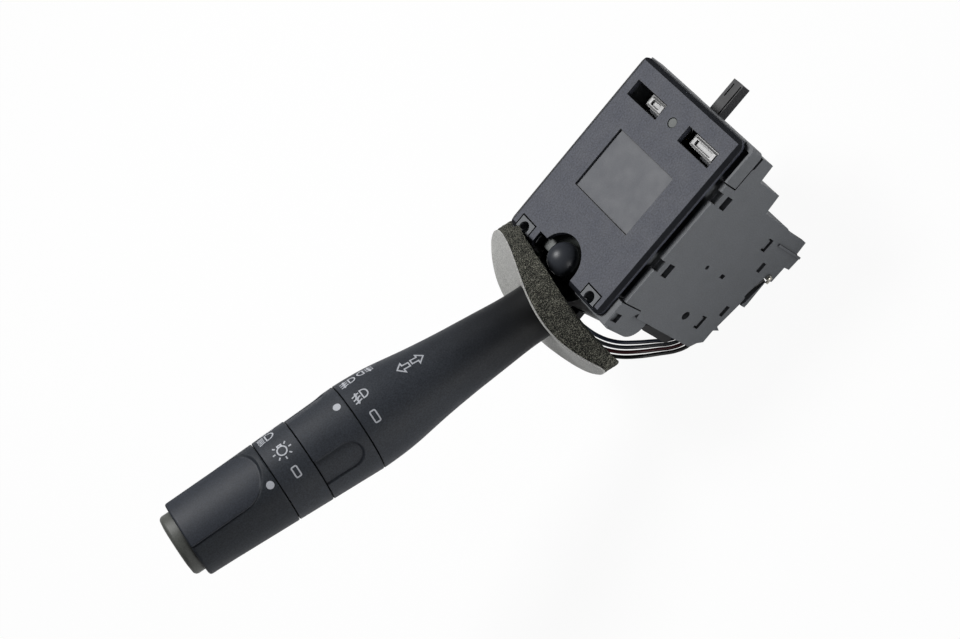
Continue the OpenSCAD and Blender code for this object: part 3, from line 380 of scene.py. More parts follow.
class Palette:
    """All the finishes of the switch, each made once."""

    housing = Finish("housing_plastic", (75, 78, 89), 0.55, 0.45 * MM, 0.03 * MM, 0.05,
                     specular=0.35, speckle=0.42, dust=0.6 * MM, painted_shade_reach=2.2 * MM)
    # Painted shade: a darker copy of the housing plastic, given to the cover's bevels.
    bevel = Finish("housing_bevel_painted_shade", (30, 32, 37), 0.45, 0.45 * MM, 0.02 * MM, 0.05,
                   specular=0.4, speckle=0.2, dust=0.6 * MM)
    label = Finish("label_field_plastic", (75, 78, 86), 0.45, 0.6 * MM, 0.008 * MM, 0.05,
                   specular=0.35, speckle=0.12, painted_shade_reach=1.0 * MM)
    module = Finish("module_plastic", (107, 110, 114), 0.55, 0.3 * MM, 0.015 * MM, 0.05,
                    specular=0.4, speckle=0.14)
    # Painted shade on the stalk: a wide corner shade near the gasket, and a darker neck.
    stalk = Finish("stalk_plastic", (52, 56, 63), 0.58, 0.45 * MM, 0.02 * MM, 0.06,
                   specular=0.35, speckle=0.3, dust=0.5 * MM, painted_shade_reach=26 * MM, neck_painted_shade=0.2)
    # Painted light and shade: the knob's body is a darker copy of the stalk plastic, and its thumb faces
    # are a lighter copy.
    knob = Finish("knob_plastic_painted_shade", (45, 49, 55), 0.58, 0.45 * MM, 0.02 * MM, 0.06,
                  specular=0.3, speckle=0.3, dust=0.5 * MM, painted_shade_reach=26 * MM)
    thumb = Finish("thumb_face_painted_light", (50, 54, 62), 0.55, 0.45 * MM, 0.02 * MM, 0.06,
                   specular=0.35, speckle=0.25, dust=0.5 * MM, painted_shade_reach=26 * MM)
    button = Finish("button_plastic", (90, 92, 88), 0.5, 0.3 * MM, 0.015 * MM, 0.06,
                    specular=0.5, speckle=0.15)
    black = Finish("black_plastic", (17, 18, 20), 0.5, 0.3 * MM, 0.01 * MM, 0.05, specular=0.3)
    finger = Finish("finger_plastic", (30, 31, 35), 0.5, 0.3 * MM, 0.01 * MM, 0.05, specular=0.4)
    dome = Finish("dome_plastic", (58, 61, 67), 0.4, 2 * MM, 0.004 * MM, 0.05, specular=0.45)
    nylon = Finish("nylon", (206, 206, 206), 0.35, 0.4 * MM, 0.01 * MM, 0.04,
                   transmission=0.35, painted_shade_reach=0.8 * MM)
    pin = Finish("nylon_pin", (86, 91, 89), 0.5, 0.4 * MM, 0.01 * MM, 0.04)
    brass = Finish("brass_strip", (190, 158, 84), 0.3, 0.4 * MM, 0.004 * MM, 0.05, metallic=1.0)
    steel = Finish("spring_steel", (160, 160, 164), 0.28, 0.4 * MM, 0.004 * MM, 0.05, metallic=1.0)
    solder = Finish("solder", (236, 232, 220), 0.25, 0.8 * MM, 0.05 * MM, 0.08,
                    metallic=1.0, painted_shade_depth=0.3)
    film = Finish("gasket_film", (186, 186, 183), 0.6, 0.35 * MM, 0.03 * MM, 0.06,
                  specular=0.3, speckle=0.34, dust=0.5 * MM)
    marks = Finish("printed_marks", (196, 199, 206), 0.5, 0.3 * MM, 0.004 * MM, 0.03, painted_shade_depth=0.0)
    wire_black = Finish("wire_black", (14, 14, 16), 0.38, 1 * MM, 0.01 * MM, 0.05)
    wire_red = Finish("wire_red", (66, 22, 28), 0.4, 1 * MM, 0.01 * MM, 0.05)
    wire_grey = Finish("wire_grey", (52, 55, 60), 0.4, 1 * MM, 0.01 * MM, 0.05)
    wire_blue = Finish("wire_blue", (34, 42, 58), 0.4, 1 * MM, 0.01 * MM, 0.05)
    foam = FoamFinish()

    def __init__(self) -> None:
        """Starts with nothing made."""
        self._made: dict[str, bpy.types.Material] = {}

    def get(self, finish: Finish | FoamFinish) -> bpy.types.Material:
        """Gives the material of a finish, making it at first use.

        Args:
            finish: The finish that is wanted.

        Returns:
            Its material.
        """
        if finish.name not in self._made:
            self._made[finish.name] = finish.build()
        return self._made[finish.name]


# Meshes


def place_in_scene(name: str, data: bpy.types.ID) -> bpy.types.Object:
    """Makes an object at the origin from its data and adds it to the scene.

    Args:
        name: Name of the object.
        data: Its mesh, camera or lamp.

    Returns:
        The new object.
    """
    obj = bpy.data.objects.new(name, data)
    bpy.context.scene.collection.objects.link(obj)
    return obj


def new_piece(name: str, verts: Sequence[Vector | Point3],
              faces: Sequence[Sequence[int]]) -> bpy.types.Object:
    """Makes a mesh object at the origin and adds it to the scene.

    Args:
        name: Name of the piece.
        verts: Corners, in metres.
        faces: Corner numbers of each face.

    Returns:
        The new object.
    """
    mesh = bpy.data.meshes.new(name)
    mesh.from_pydata([tuple(v) for v in verts], [], [list(f) for f in faces])
    mesh.validate()
    mesh.update()
    return place_in_scene(name, mesh)


def dress(obj: bpy.types.Object, material: bpy.types.Material) -> None:
    """Gives an object one material on all its faces."""
    obj.data.materials.clear()
    obj.data.materials.append(material)


def enter(obj: bpy.types.Object, body: str, node: str = "") -> None:
    """Enters a finished piece in the frame and reports it.

    Args:
        obj: The piece.
        body: Body that it rides on.
        node: CAD node that it replaces, if any.
    """
    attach(obj, body)
    if node:
        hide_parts(node)
    LOG.info("piece %s", obj.name)


def apply_modifiers(obj: bpy.types.Object) -> None:
    """Turns an object's modifiers into plain mesh and removes them.

    Args:
        obj: The object.
    """
    graph = bpy.context.evaluated_depsgraph_get()
    mesh = bpy.data.meshes.new_from_object(obj.evaluated_get(graph))
    mesh.name = obj.name
    obj.modifiers.clear()
    obj.data = mesh


def smooth_by_angle(obj: bpy.types.Object, degrees: float) -> None:
    """Shades faces smooth and keeps edges sharper than an angle sharp.

    Args:
        obj: The object.
        degrees: The angle.
    """
    mesh = obj.data
    mesh.polygons.foreach_set("use_smooth", [True] * len(mesh.polygons))
    work = bmesh.new()
    work.from_mesh(mesh)
    for edge in work.edges:
        sharp = len(edge.link_faces) != 2 or edge.calc_face_angle(0.0) > math.radians(degrees)
        edge.smooth = not sharp
    work.to_mesh(mesh)
    work.free()


def close_up(obj: bpy.types.Object, degrees: float) -> None:
    """Merges doubled corners, points the faces outwards and shades them smooth.

    Args:
        obj: The object.
        degrees: Edges sharper than this angle stay sharp.
    """
    work = bmesh.new()
    work.from_mesh(obj.data)
    bmesh.ops.remove_doubles(work, verts=work.verts, dist=1e-7)
    bmesh.ops.recalc_face_normals(work, faces=work.faces)
    work.to_mesh(obj.data)
    work.free()
    smooth_by_angle(obj, degrees)


def ringed_piece(name: str, rings: Sequence[Sequence[Vector]], degrees: float) -> bpy.types.Object:
    """Joins rings of points, and the last ring to the first, into a closed shell.

    Args:
        name: Name of the piece.
        rings: Rings with the same number of points.
        degrees: Edges sharper than this angle stay sharp.

    Returns:
        The new object.
    """
    around = len(rings[0])
    faces = []
    for i in range(len(rings)):
        a, b = i * around, (i + 1) % len(rings) * around
        faces += [(a + k, a + (k + 1) % around, b + (k + 1) % around, b + k) for k in range(around)]
    obj = new_piece(name, [point for ring in rings for point in ring], faces)
    close_up(obj, degrees)
    return obj


def moulded_copy(node: str, body: str, material: bpy.types.Material,
                 edge: float) -> bpy.types.Object:
    """Copies a CAD node with its edges rounded as a moulding's are, and replaces it.

    Args:
        node: Name of the CAD node.
        body: Body that the copy rides on.
        material: Material of the copy.
        edge: Width of the rounded edges in metres, 0 for none.

    Returns:
        The copy.
    """
    obj = place_in_scene(node + "_moulding", bpy.data.objects[node].data.copy())
    work = bmesh.new()
    work.from_mesh(obj.data)
    bmesh.ops.remove_doubles(work, verts=work.verts, dist=2e-6)
    bmesh.ops.dissolve_limit(work, angle_limit=math.radians(0.6), verts=work.verts, edges=work.edges)
    work.to_mesh(obj.data)
    work.free()
    if edge > 0:
        bevel = obj.modifiers.new("rounded_edges", "BEVEL")
        bevel.width = edge
        bevel.segments = 2
        bevel.limit_method = "ANGLE"
        bevel.angle_limit = math.radians(32)
        bevel.use_clamp_overlap = True
        bevel.miter_outer = "MITER_ARC"
        apply_modifiers(obj)
    smooth_by_angle(obj, 34)
    flat = obj.modifiers.new("flat_faces", "WEIGHTED_NORMAL")
    flat.keep_sharp = True
    flat.weight = 90
    apply_modifiers(obj)
    dress(obj, material)
    enter(obj, body, node)
    return obj


def paint(obj: bpy.types.Object, material: bpy.types.Material,
          chosen: Callable[[Vector, Vector], bool]) -> int:
    """Gives a second material to the faces that a test picks.

    Args:
        obj: The piece.
        material: Material of the picked faces.
        chosen: Test of a face's middle in millimetres and its normal.

    Returns:
        How many faces were picked.
    """
    obj.data.materials.append(material)
    index = len(obj.data.materials) - 1
    picked = 0
    for face in obj.data.polygons:
        if chosen(Vector(face.center) / MM, Vector(face.normal)):
            face.material_index = index
            picked += 1
    return picked


# The stalk's own frame


@dataclass(frozen=True)
class StalkFrame:
    """Places points by station along the stalk, radius and angle about it.

    Attributes:
        pivot: Centre of the tilting pin.
        tip: Direction from the pin towards the tip.
    """

    pivot: Vector
    tip: Vector

    @property
    def face(self) -> Vector:
        """Direction across the stalk that faces the driver."""
        return ACROSS.cross(self.tip).normalized()

    def place(self, angle: float, radius: float, station: float) -> Vector:
        """Gives the point at an angle in degrees, a radius and a station.

        Args:
            angle: Angle about the stalk, 0 on the driver's side.
            radius: Distance from the axis.
            station: Distance from the pin along the axis.

        Returns:
            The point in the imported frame.
        """
        a = math.radians(angle)
        outwards = self.face * math.cos(a) + ACROSS * math.sin(a)
        return self.pivot + outwards * radius + self.tip * station

    def circle(self, radius: float, station: float, around: int) -> list[Vector]:
        """Gives a ring of points of one radius."""
        return [self.place(360 * i / around, radius, station) for i in range(around)]

    def local(self, x: float, y: float, station: float) -> Vector:
        """Gives the point at offsets x towards the driver and y across."""
        return self.pivot + self.face * x + ACROSS * y + self.tip * station

    def turned_solid(self, name: str, outline: Sequence[Point2], around: int) -> bpy.types.Object:
        """Turns an outline about the axis into a closed solid.

        Args:
            name: Name of the piece.
            outline: Points (radius, station), the first and the last on the axis.
            around: Steps around the axis.

        Returns:
            The new object.
        """
        verts = [self.place(0, 0, outline[0][1])]
        for radius, station in outline[1:-1]:
            verts += self.circle(radius, station, around)
        verts.append(self.place(0, 0, outline[-1][1]))
        faces: list[tuple[int, ...]] = []
        last = 1 + (len(outline) - 3) * around
        for i in range(around):
            i2 = (i + 1) % around
            faces.append((0, 1 + i, 1 + i2))
            faces += [(a + i, a + around + i, a + around + i2, a + i2) for a in range(1, last, around)]
            faces.append((last + i, len(verts) - 1, last + i2))
        obj = new_piece(name, verts, faces)
        close_up(obj, 40)
        return obj


@dataclass
class TurnedShell:
    """A closed surface about the stalk's axis, with a radius that may vary round it.

    Attributes:
        name: Name of the piece.
        frame: The stalk's frame.
        radius: Outer radius at an angle and a station.
        stations: Stations of the outer rings, from the housing side to the tip.
        inner: Inner radius where the ends are closed.
        around: Steps around the axis.
        end_round: Radius of the two ends' rounded edges.
    """

    name: str
    frame: StalkFrame
    radius: Surface
    stations: Sequence[float]
    inner: float
    around: int
    end_round: float = 0.25 * MM

    def ring(self, station: float, shrink: float = 0.0) -> list[Vector]:
        """Gives one ring of the outer surface, drawn in by a shrink.

        Args:
            station: Station of the ring.
            shrink: Distance by which the ring is drawn in.

        Returns:
            The ring's points.
        """
        angles = [360 * i / self.around for i in range(self.around)]
        return [self.frame.place(a, self.radius(a, station) - shrink, station) for a in angles]

    def rounded_end(self, end: float, way: float, shares: Sequence[float]) -> list[list[Vector]]:
        """Gives the rings of one rounded end.

        Args:
            end: Station of the end.
            way: 1 where the shell runs on towards the tip, -1 where it ends there.
            shares: Places of the rings on the rounded edge, 0 at the end.

        Returns:
            The rings.
        """
        rings = []
        for share in shares:
            shrink = self.end_round * (1 - math.cos(math.radians(90 * (1 - share))))
            rings.append(self.ring(end + way * self.end_round * share * 0.9, shrink))
        return rings

    def build(self) -> bpy.types.Object:
        """Builds the mesh.

        Returns:
            The new object.
        """
        first, last = self.stations[0], self.stations[-1]
        rings = [self.frame.circle(self.inner, first, self.around)]
        rings += self.rounded_end(first, 1.0, (0.0, 0.4, 0.8))
        rings += [self.ring(station) for station in self.stations[1:-1]]
        rings += self.rounded_end(last, -1.0, (0.8, 0.4, 0.0))
        rings.append(self.frame.circle(self.inner, last, self.around))
        return ringed_piece(self.name, rings, 40)


@dataclass
class Lever:
    """The lever of the stalk, with its ring, collar, knob and button.

    Attributes:
        frame: The stalk's frame.
        palette: The finishes.
        rim: Station of the knob's rim.
        knob_seam: Station of the seam between collar and knob.
        collar_seam: Station of the seam between ring and collar.
        ring_seam: Station of the seam between lever and ring.
        neck: Station where the lever's shell starts, inside the gasket.
        rim_radius: Radius of the taper at the rim.
        seam_radius: Radius of the taper at the ring's seam.
        neck_radius: Radius of the lever's neck.
        seam_gap: Half of the gap at a seam.
        profile: Distance from the ring's seam in millimetres, and share of the
            way from the neck's radius to the seam's.
        grip_angles: Middle angles of the ring's finger grips.
        grip_half: Half of a grip's width.
        grip_start: Distance from the ring's seam to the middle of a grip's round end.
        grip_depth: Depth of a grip.
        grip_lip: Start and end of a grip's sloped edge, from its outline inwards.
        facet_radius: Radius of a thumb face's crown.
        facet_depth: Depth of a thumb face below the rim's radius.
        facet_groove: Depth of the fine groove round a thumb face.
        groove_place: Distance of that groove outside the face's outline.
        groove_width: Width of that groove.
        facet_half: Half of a thumb face's width.
        facet_seam: Distance from the knob's seam to a thumb face.
        facet_lip: Half width of the step at a thumb face's outline.
        knob_bore: Radius of the knob's bore.
        shaft_bore: Radius of the bore's narrower end under the button.
        shaft_seat: Length of that end.
        knob_hollow: Depth of the hollow for the button.
        knob_edge: Radius of the rim's rounded edge.
        knob_step: Distance between the knob's rings.
        knob_around: Steps round the knob.
        button_radius: Radius of the push button.
        button_rise: Height of the button over the rim.
        button_gap: Gap round the button.
        button_edge: Radius of the button's rounded edge.
        cap_depth: Depth of the button's cap below the rim.
        cap_wall: Wall of that cap.
        stem_radius: Radius of the button's stem.
        stem_depth: Depth of the stem below the rim.
        foot_radius: Radius of the stem's foot.
        foot_length: Length of that foot.
    """

    frame: StalkFrame
    palette: Palette
    rim: float = 165.2 * MM
    knob_seam: float = 130.4 * MM
    collar_seam: float = 117.2 * MM
    ring_seam: float = 97.3 * MM
    neck: float = 22.0 * MM
    rim_radius: float = 13.8 * MM
    seam_radius: float = 16.35 * MM
    neck_radius: float = 10.05 * MM
    seam_gap: float = 0.15 * MM
    profile: tuple[Point2, ...] = (
        (0, 1), (5, 0.98), (10.5, 0.93), (15.5, 0.845), (20.5, 0.73), (25.6, 0.61), (31, 0.5),
        (36.6, 0.4), (42, 0.315), (47, 0.25), (55, 0.145), (62, 0.05), (68, 0), (80, 0))
    grip_angles: tuple[float, ...] = (-60.0, 45.0, 172.0)
    grip_half: float = 5.0 * MM
    grip_start: float = 8.6 * MM
    grip_depth: float = 0.7 * MM
    grip_lip: Point2 = (-0.15 * MM, 0.45 * MM)
    facet_radius: float = 19.2 * MM
    facet_depth: float = 1.15 * MM
    facet_groove: float = 0.28 * MM
    groove_place: float = 0.2 * MM
    groove_width: float = 0.24 * MM
    facet_half: float = 10.5 * MM
    facet_seam: float = 2.4 * MM
    facet_lip: float = 0.35 * MM
    knob_bore: float = 3.0 * MM
    shaft_bore: float = 2.06 * MM
    shaft_seat: float = 2.5 * MM
    knob_hollow: float = 13.2 * MM
    knob_edge: float = 0.9 * MM
    knob_step: float = 0.28 * MM
    knob_around: int = 480
    button_radius: float = 11.3 * MM
    button_rise: float = 4.5 * MM
    button_gap: float = 0.3 * MM
    button_edge: float = 1.6 * MM
    cap_depth: float = 6 * MM
    cap_wall: float = 1.4 * MM
    stem_radius: float = 2 * MM
    stem_depth: float = 18.0 * MM
    foot_radius: float = 2.8 * MM
    foot_length: float = 2 * MM

    def cone(self, station: float) -> float:
        """Radius of the straight taper that runs from the ring's seam to the knob's rim."""
        slope = (self.seam_radius - self.rim_radius) / (self.rim - self.ring_seam)
        return self.rim_radius + slope * (self.rim - station)

    def collar_radius(self, angle: float, station: float) -> float:
        """Outer radius of the collar, the same all round."""
        return self.cone(station)

    def lever_radius(self, angle: float, station: float) -> float:
        """Outer radius of the lever, the same all round."""
        share = curve_through(self.profile, (self.ring_seam - station) / MM)
        return self.neck_radius + (self.seam_radius - self.neck_radius) * share

    def ring_radius(self, angle: float, station: float) -> float:
        """Outer radius of the fog lamp ring, with its sunk finger grips.

        Args:
            angle: Angle about the stalk in degrees.
            station: Station along it.

        Returns:
            The radius.
        """
        radius = self.cone(station)
        sunk = 0.0
        for grip in self.grip_angles:
            across = math.radians((angle - grip + 180) % 360 - 180) * radius
            distance = slot_distance(across, station - (self.ring_seam + self.grip_start))
            sunk = max(sunk, smoothstep(*self.grip_lip, self.grip_half - distance))
        return radius - self.grip_depth * sunk

    @property
    def facet_middle(self) -> float:
        """Station of the middle of a thumb face's round end."""
        return self.knob_seam + self.facet_seam + self.facet_half

    def knob_radius(self, angle: float, station: float) -> float:
        """Outer radius of the light knob, with its two thumb faces.

        Args:
            angle: Angle about the stalk in degrees.
            station: Station along it.

        Returns:
            The radius.
        """
        radius = self.cone(station)
        turn = math.radians((angle + 90) % 180 - 90)
        if abs(turn) > math.radians(85):
            return radius
        crown = self.facet_radius + radius - self.rim_radius
        centre = self.rim_radius - self.facet_depth - self.facet_radius
        face = centre * math.cos(turn) + math.sqrt(max(0.0, crown ** 2 - (centre * math.sin(turn)) ** 2))
        distance = slot_distance(face * math.sin(turn), station - self.facet_middle)
        share = smoothstep(-self.facet_lip, self.facet_lip, self.facet_half - distance)
        beside = (self.facet_half + self.groove_place - distance) / self.groove_width
        return radius + (face - radius) * share - self.facet_groove * math.exp(-beside ** 2)

    def build(self) -> None:
        """Builds the lever, ring, collar, knob and button."""
        g = self.seam_gap
        pieces = (
            ("lever_shell", "lever", self.lever_radius,
             spaced(self.neck, self.ring_seam - g, 1.2 * MM), 5.8 * MM, 128),
            ("fog_ring", "fog_ring", self.ring_radius,
             spaced(self.ring_seam + g, self.collar_seam - g, 0.25 * MM), 5.06 * MM, 512),
            ("fixed_collar", "lever", self.collar_radius,
             spaced(self.collar_seam + g, self.knob_seam - g, 1.5 * MM), 5.0 * MM, 192),
        )
        for node, body, radius, stations, inner, around in pieces:
            obj = TurnedShell(node + "_skin", self.frame, radius, stations, inner, around).build()
            dress(obj, self.palette.get(Palette.stalk))
            enter(obj, body, node)
        self.build_knob()
        self.build_button()

    def knob_ring(self, at: float, station: float, shrink: float, least: float = 0.0) -> list[Vector]:
        """Gives a ring of the knob's outside, drawn in by a shrink.

        Args:
            at: Station where the knob's radius is read.
            station: Station of the ring.
            shrink: Distance by which the ring is drawn in.
            least: Least radius of the ring.

        Returns:
            The ring's points.
        """
        angles = [360 * i / self.knob_around for i in range(self.knob_around)]
        return [self.frame.place(a, max(least, self.knob_radius(a, at) - shrink), station) for a in angles]

    def build_knob(self) -> None:
        """Builds the light knob, open at its tip for the button."""
        hole = self.button_radius + self.button_gap
        floor = self.rim - self.knob_hollow
        seat = floor - self.shaft_seat
        shoulder = self.rim - self.knob_edge
        stations = spaced(self.knob_seam + self.seam_gap, shoulder, self.knob_step)
        inside = ((hole, self.rim - 0.1 * MM), (hole, floor), (self.shaft_bore, floor),
                  (self.shaft_bore, seat), (self.knob_bore, seat))
        rings = [self.frame.circle(self.knob_bore, stations[0], self.knob_around)]
        rings.append(self.knob_ring(stations[0], stations[0], 0.2 * MM))
        rings += [self.knob_ring(station, station, 0.0) for station in stations[1:]]
        for degrees in (30, 60, 90):
            t = math.radians(degrees)
            rings.append(self.knob_ring(shoulder, shoulder + self.knob_edge * math.sin(t),
                                        self.knob_edge * (1 - math.cos(t)), hole + 0.12 * MM))
        rings += [self.frame.circle(radius, station, self.knob_around) for radius, station in inside]
        obj = ringed_piece("light_knob_skin", rings, 40)
        dress(obj, self.palette.get(Palette.knob))
        # Painted light: the thumb faces get a lighter copy of the knob's plastic.
        LOG.info("thumb faces %d", paint(obj, self.palette.get(Palette.thumb), self.on_thumb_face))
        enter(obj, "light_knob", "light_knob")

    def on_thumb_face(self, middle: Vector, normal: Vector) -> bool:
        """Tells whether a face of the knob lies on one of its thumb faces.

        Args:
            middle: The face's middle in millimetres.
            normal: The face's normal.

        Returns:
            True on a thumb face.
        """
        way = middle * MM - self.frame.pivot
        distance = slot_distance(way.y, way.dot(self.frame.tip) - self.facet_middle)
        outside = abs(way.dot(self.frame.face)) > 9 * MM and abs(normal.dot(self.frame.tip)) < 0.6
        return outside and distance < self.facet_half - 0.1 * MM

    def build_button(self) -> None:
        """Builds the push button's cap, with its crowned face, and its stem."""
        r, e = self.button_radius, self.button_edge
        top = self.rim + self.button_rise
        skirt = self.rim - self.cap_depth
        end = self.rim - self.stem_depth
        foot = end + self.foot_length
        ceiling = top - 2.4 * MM
        crown = ((0.0, 0.0), (r * 0.4, 0.02 * MM), (r * 0.7, 0.1 * MM), (r - 2.0 * MM, 0.28 * MM))
        outline = [(radius, top - fall) for radius, fall in crown]
        for degrees in (20, 40, 60, 80, 90):
            t = math.radians(degrees)
            outline.append((r - e + e * math.sin(t), top - 0.3 * MM - e + e * math.cos(t)))
        outline += [(r, skirt + 0.1 * MM), (r - 0.1 * MM, skirt), (r - self.cap_wall, skirt),
                    (r - self.cap_wall, ceiling), (self.stem_radius, ceiling), (self.stem_radius, foot),
                    (self.foot_radius, foot), (self.foot_radius, end), (0.0, end)]
        obj = self.frame.turned_solid("horn_button_cap", outline, 160)
        dress(obj, self.palette.get(Palette.button))
        enter(obj, "horn_button", "horn_button")


# Printed marks


def resampled(line: Sequence[Point2], closed: bool, step: float) -> list[Point2]:
    """Adds points to a flat line so that it can follow a round surface.

    Args:
        line: The line's corners.
        closed: True for a line that runs back to its start.
        step: Longest distance between two points.

    Returns:
        The finer line.
    """
    points: list[Point2] = []
    for i in range(len(line) if closed else len(line) - 1):
        a, b = line[i], line[(i + 1) % len(line)]
        steps = max(1, math.ceil(math.dist(a, b) / step))
        points += [(a[0] + (b[0] - a[0]) * k / steps, a[1] + (b[1] - a[1]) * k / steps)
                   for k in range(steps)]
    return points if closed else points + [line[-1]]


@dataclass
class Mark:
    """A printed mark made of strokes on a turned surface.

    Attributes:
        name: Name of the piece.
        body: Body that it rides on.
        angle: Angle of its middle about the stalk, in degrees.
        station: Station of its middle.
        radius: Surface of the surface at an angle and a station.
        strokes: Lines of points, each (round the stalk, along it) in metres.
        filled: True for outlines that are filled.
        width: Width of the strokes.
        lift: Height of the print's middle over the surface.
        ink: Thickness of the print.
    """

    name: str
    body: str
    angle: float
    station: float
    radius: Surface
    strokes: Sequence[Sequence[Point2]]
    filled: bool = False
    width: float = 0.5 * MM
    lift: float = 0.035 * MM
    ink: float = 0.03 * MM

    def on_surface(self, frame: StalkFrame, u: float, v: float) -> Vector:
        """Wraps a flat point of the mark onto the surface.

        Args:
            frame: The stalk's frame.
            u: Offset round the stalk.
            v: Offset along it.

        Returns:
            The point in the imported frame.
        """
        station = self.station + v
        angle = self.angle + math.degrees(u / self.radius(self.angle, self.station))
        return frame.place(angle, self.radius(angle, station) + self.lift, station)

    def build(self, frame: StalkFrame, material: bpy.types.Material) -> None:
        """Builds the mark as a thin skin.

        Args:
            frame: The stalk's frame.
            material: Material of the print.
        """
        verts: list[Vector] = []
        faces: list[tuple[int, ...]] = []
        for stroke in self.strokes:
            if self.filled:
                self.add_disc(frame, stroke, verts, faces)
            else:
                self.add_stroke(frame, stroke, verts, faces)
        obj = new_piece(self.name, verts, faces)
        self.face_outwards(obj, frame)
        solid = obj.modifiers.new("ink", "SOLIDIFY")
        solid.thickness = self.ink
        solid.offset = 0
        apply_modifiers(obj)
        dress(obj, material)
        enter(obj, self.body)

    @staticmethod
    def face_outwards(obj: bpy.types.Object, frame: StalkFrame) -> None:
        """Turns the faces of a skin away from the stalk's axis.

        Args:
            obj: The skin.
            frame: The stalk's frame.
        """
        work = bmesh.new()
        work.from_mesh(obj.data)
        for face in work.faces:
            face.normal_update()
            middle = face.calc_center_median()
            axis_point = frame.pivot + frame.tip * (middle - frame.pivot).dot(frame.tip)
            if face.normal.dot(middle - axis_point) < 0:
                face.normal_flip()
        work.to_mesh(obj.data)
        work.free()

    def add_disc(self, frame: StalkFrame, line: Sequence[Point2], verts: list[Vector],
                 faces: list[tuple[int, ...]]) -> None:
        """Adds one filled outline of the mark as a fan about its middle.

        Args:
            frame: The stalk's frame.
            line: The outline.
            verts: Corners of the mark, which grow.
            faces: Faces of the mark, which grow.
        """
        n = len(line)
        start = len(verts)
        verts.append(self.on_surface(frame, sum(p[0] for p in line) / n, sum(p[1] for p in line) / n))
        verts += [self.on_surface(frame, u, v) for u, v in line]
        faces += [(start, start + 1 + i, start + 1 + (i + 1) % n) for i in range(n)]

    def add_stroke(self, frame: StalkFrame, line: Sequence[Point2], verts: list[Vector],
                   faces: list[tuple[int, ...]]) -> None:
        """Adds one line of the mark as a ribbon of its width.

        Args:
            frame: The stalk's frame.
            line: The line, closed where its ends meet.
            verts: Corners of the mark, which grow.
            faces: Faces of the mark, which grow.
        """
        closed = math.dist(line[0], line[-1]) < 1e-9
        points = resampled(line[:-1] if closed else line, closed, 0.5 * MM)
        n = len(points)
        start = len(verts)
        for i, (u, v) in enumerate(points):
            before = points[i - 1] if (closed or i > 0) else points[i]
            after = points[(i + 1) % n] if (closed or i < n - 1) else points[i]
            d0 = Vector((u - before[0], v - before[1]))
            d1 = Vector((after[0] - u, after[1] - v))
            d0 = d0.normalized() if d0.length > 1e-12 else d1.normalized()
            d1 = d1.normalized() if d1.length > 1e-12 else d0
            way = (d0 + d1).normalized() if (d0 + d1).length > 1e-6 else d1
            side = Vector((-way.y, way.x))
            spread = self.width / 2 / max(0.45, side.dot(Vector((-d1.y, d1.x))))
            verts.append(self.on_surface(frame, u + side.x * spread, v + side.y * spread))
            verts.append(self.on_surface(frame, u - side.x * spread, v - side.y * spread))
        for i in range(n if closed else n - 1):
            a, b = start + 2 * i, start + 2 * ((i + 1) % n)
            faces.append((a, b, b + 1, a + 1))


def arc(cu: float, cv: float, radius: float, start: float, end: float, steps: int) -> list[Point2]:
    """Gives points of an arc between two angles in degrees."""
    turns = [math.radians(start + (end - start) * i / steps) for i in range(steps + 1)]
    return [(cu + radius * math.cos(t), cv + radius * math.sin(t)) for t in turns]


def scaled(lines: Sequence[Sequence[Point2]], unit: float) -> list[list[Point2]]:
    """Scales flat lines."""
    return [[(u * unit, v * unit) for u, v in line] for line in lines]


def slot_sign(across: float, along: float) -> list[list[Point2]]:
    """Gives the off mark: an upright rectangle with round corners.

    Args:
        across: Half of its height round the stalk, in millimetres.
        along: Half of its width along the stalk, in millimetres.

    Returns:
        Its one closed line.
    """
    r = 0.45
    line: list[Point2] = []
    for cu, cv, start in ((across - r, along - r, 0), (r - across, along - r, 90),
                          (r - across, r - along, 180), (across - r, r - along, 270)):
        line += arc(cu, cv, r, start, start + 90, 5)
    line.append(line[0])
    return scaled([line], MM)


def lamp_outline(half: float, depth: float) -> list[Point2]:
    """Gives the D of a lamp: flat towards the tip, round towards the housing.

    Args:
        half: Half of its height, in millimetres.
        depth: Its depth from flat to round, in millimetres.

    Returns:
        Its one closed line.
    """
    turns = [math.radians(t) for t in range(8, 180, 8)]
    line = [(-half, 0.0)]
    line += [(-half * math.cos(t), -depth * math.sin(t) ** 0.75) for t in turns]
    line += [(half, 0.0), (-half, 0.0)]
    return line


def fog_sign(rear: bool) -> list[list[Point2]]:
    """Gives a fog lamp mark: a lamp with three beams and a wavy line across them.

    Args:
        rear: True for the rear lamp, which faces the other way and has level beams.

    Returns:
        Its lines.
    """
    way = -1.0 if rear else 1.0
    slant = 0.0 if rear else -0.85
    lines = [[(u, way * v) for u, v in lamp_outline(1.65, 2.2)]]
    for offset in (-1.35, 0.0, 1.35):
        lines.append([(offset + 0.2 * slant, way * 0.65), (offset + slant, way * 3.5)])
    lines.append([(-2.2 + 0.275 * i + 0.55 * slant, way * (2.05 + 0.26 * math.sin(math.radians(90 * i))))
                  for i in range(17)])
    return scaled(lines, MM)


def headlamp_sign(slant: float) -> list[list[Point2]]:
    """Gives a headlamp mark: a lamp with five beams.

    Args:
        slant: Fall of the beams in millimetres, 0 for the main beam.

    Returns:
        Its lines.
    """
    lines = [lamp_outline(2.15, 2.85)]
    lines += [[(-2.0 + i, 0.75), (-2.0 + i + slant, 3.1)] for i in range(5)]
    return scaled(lines, MM)


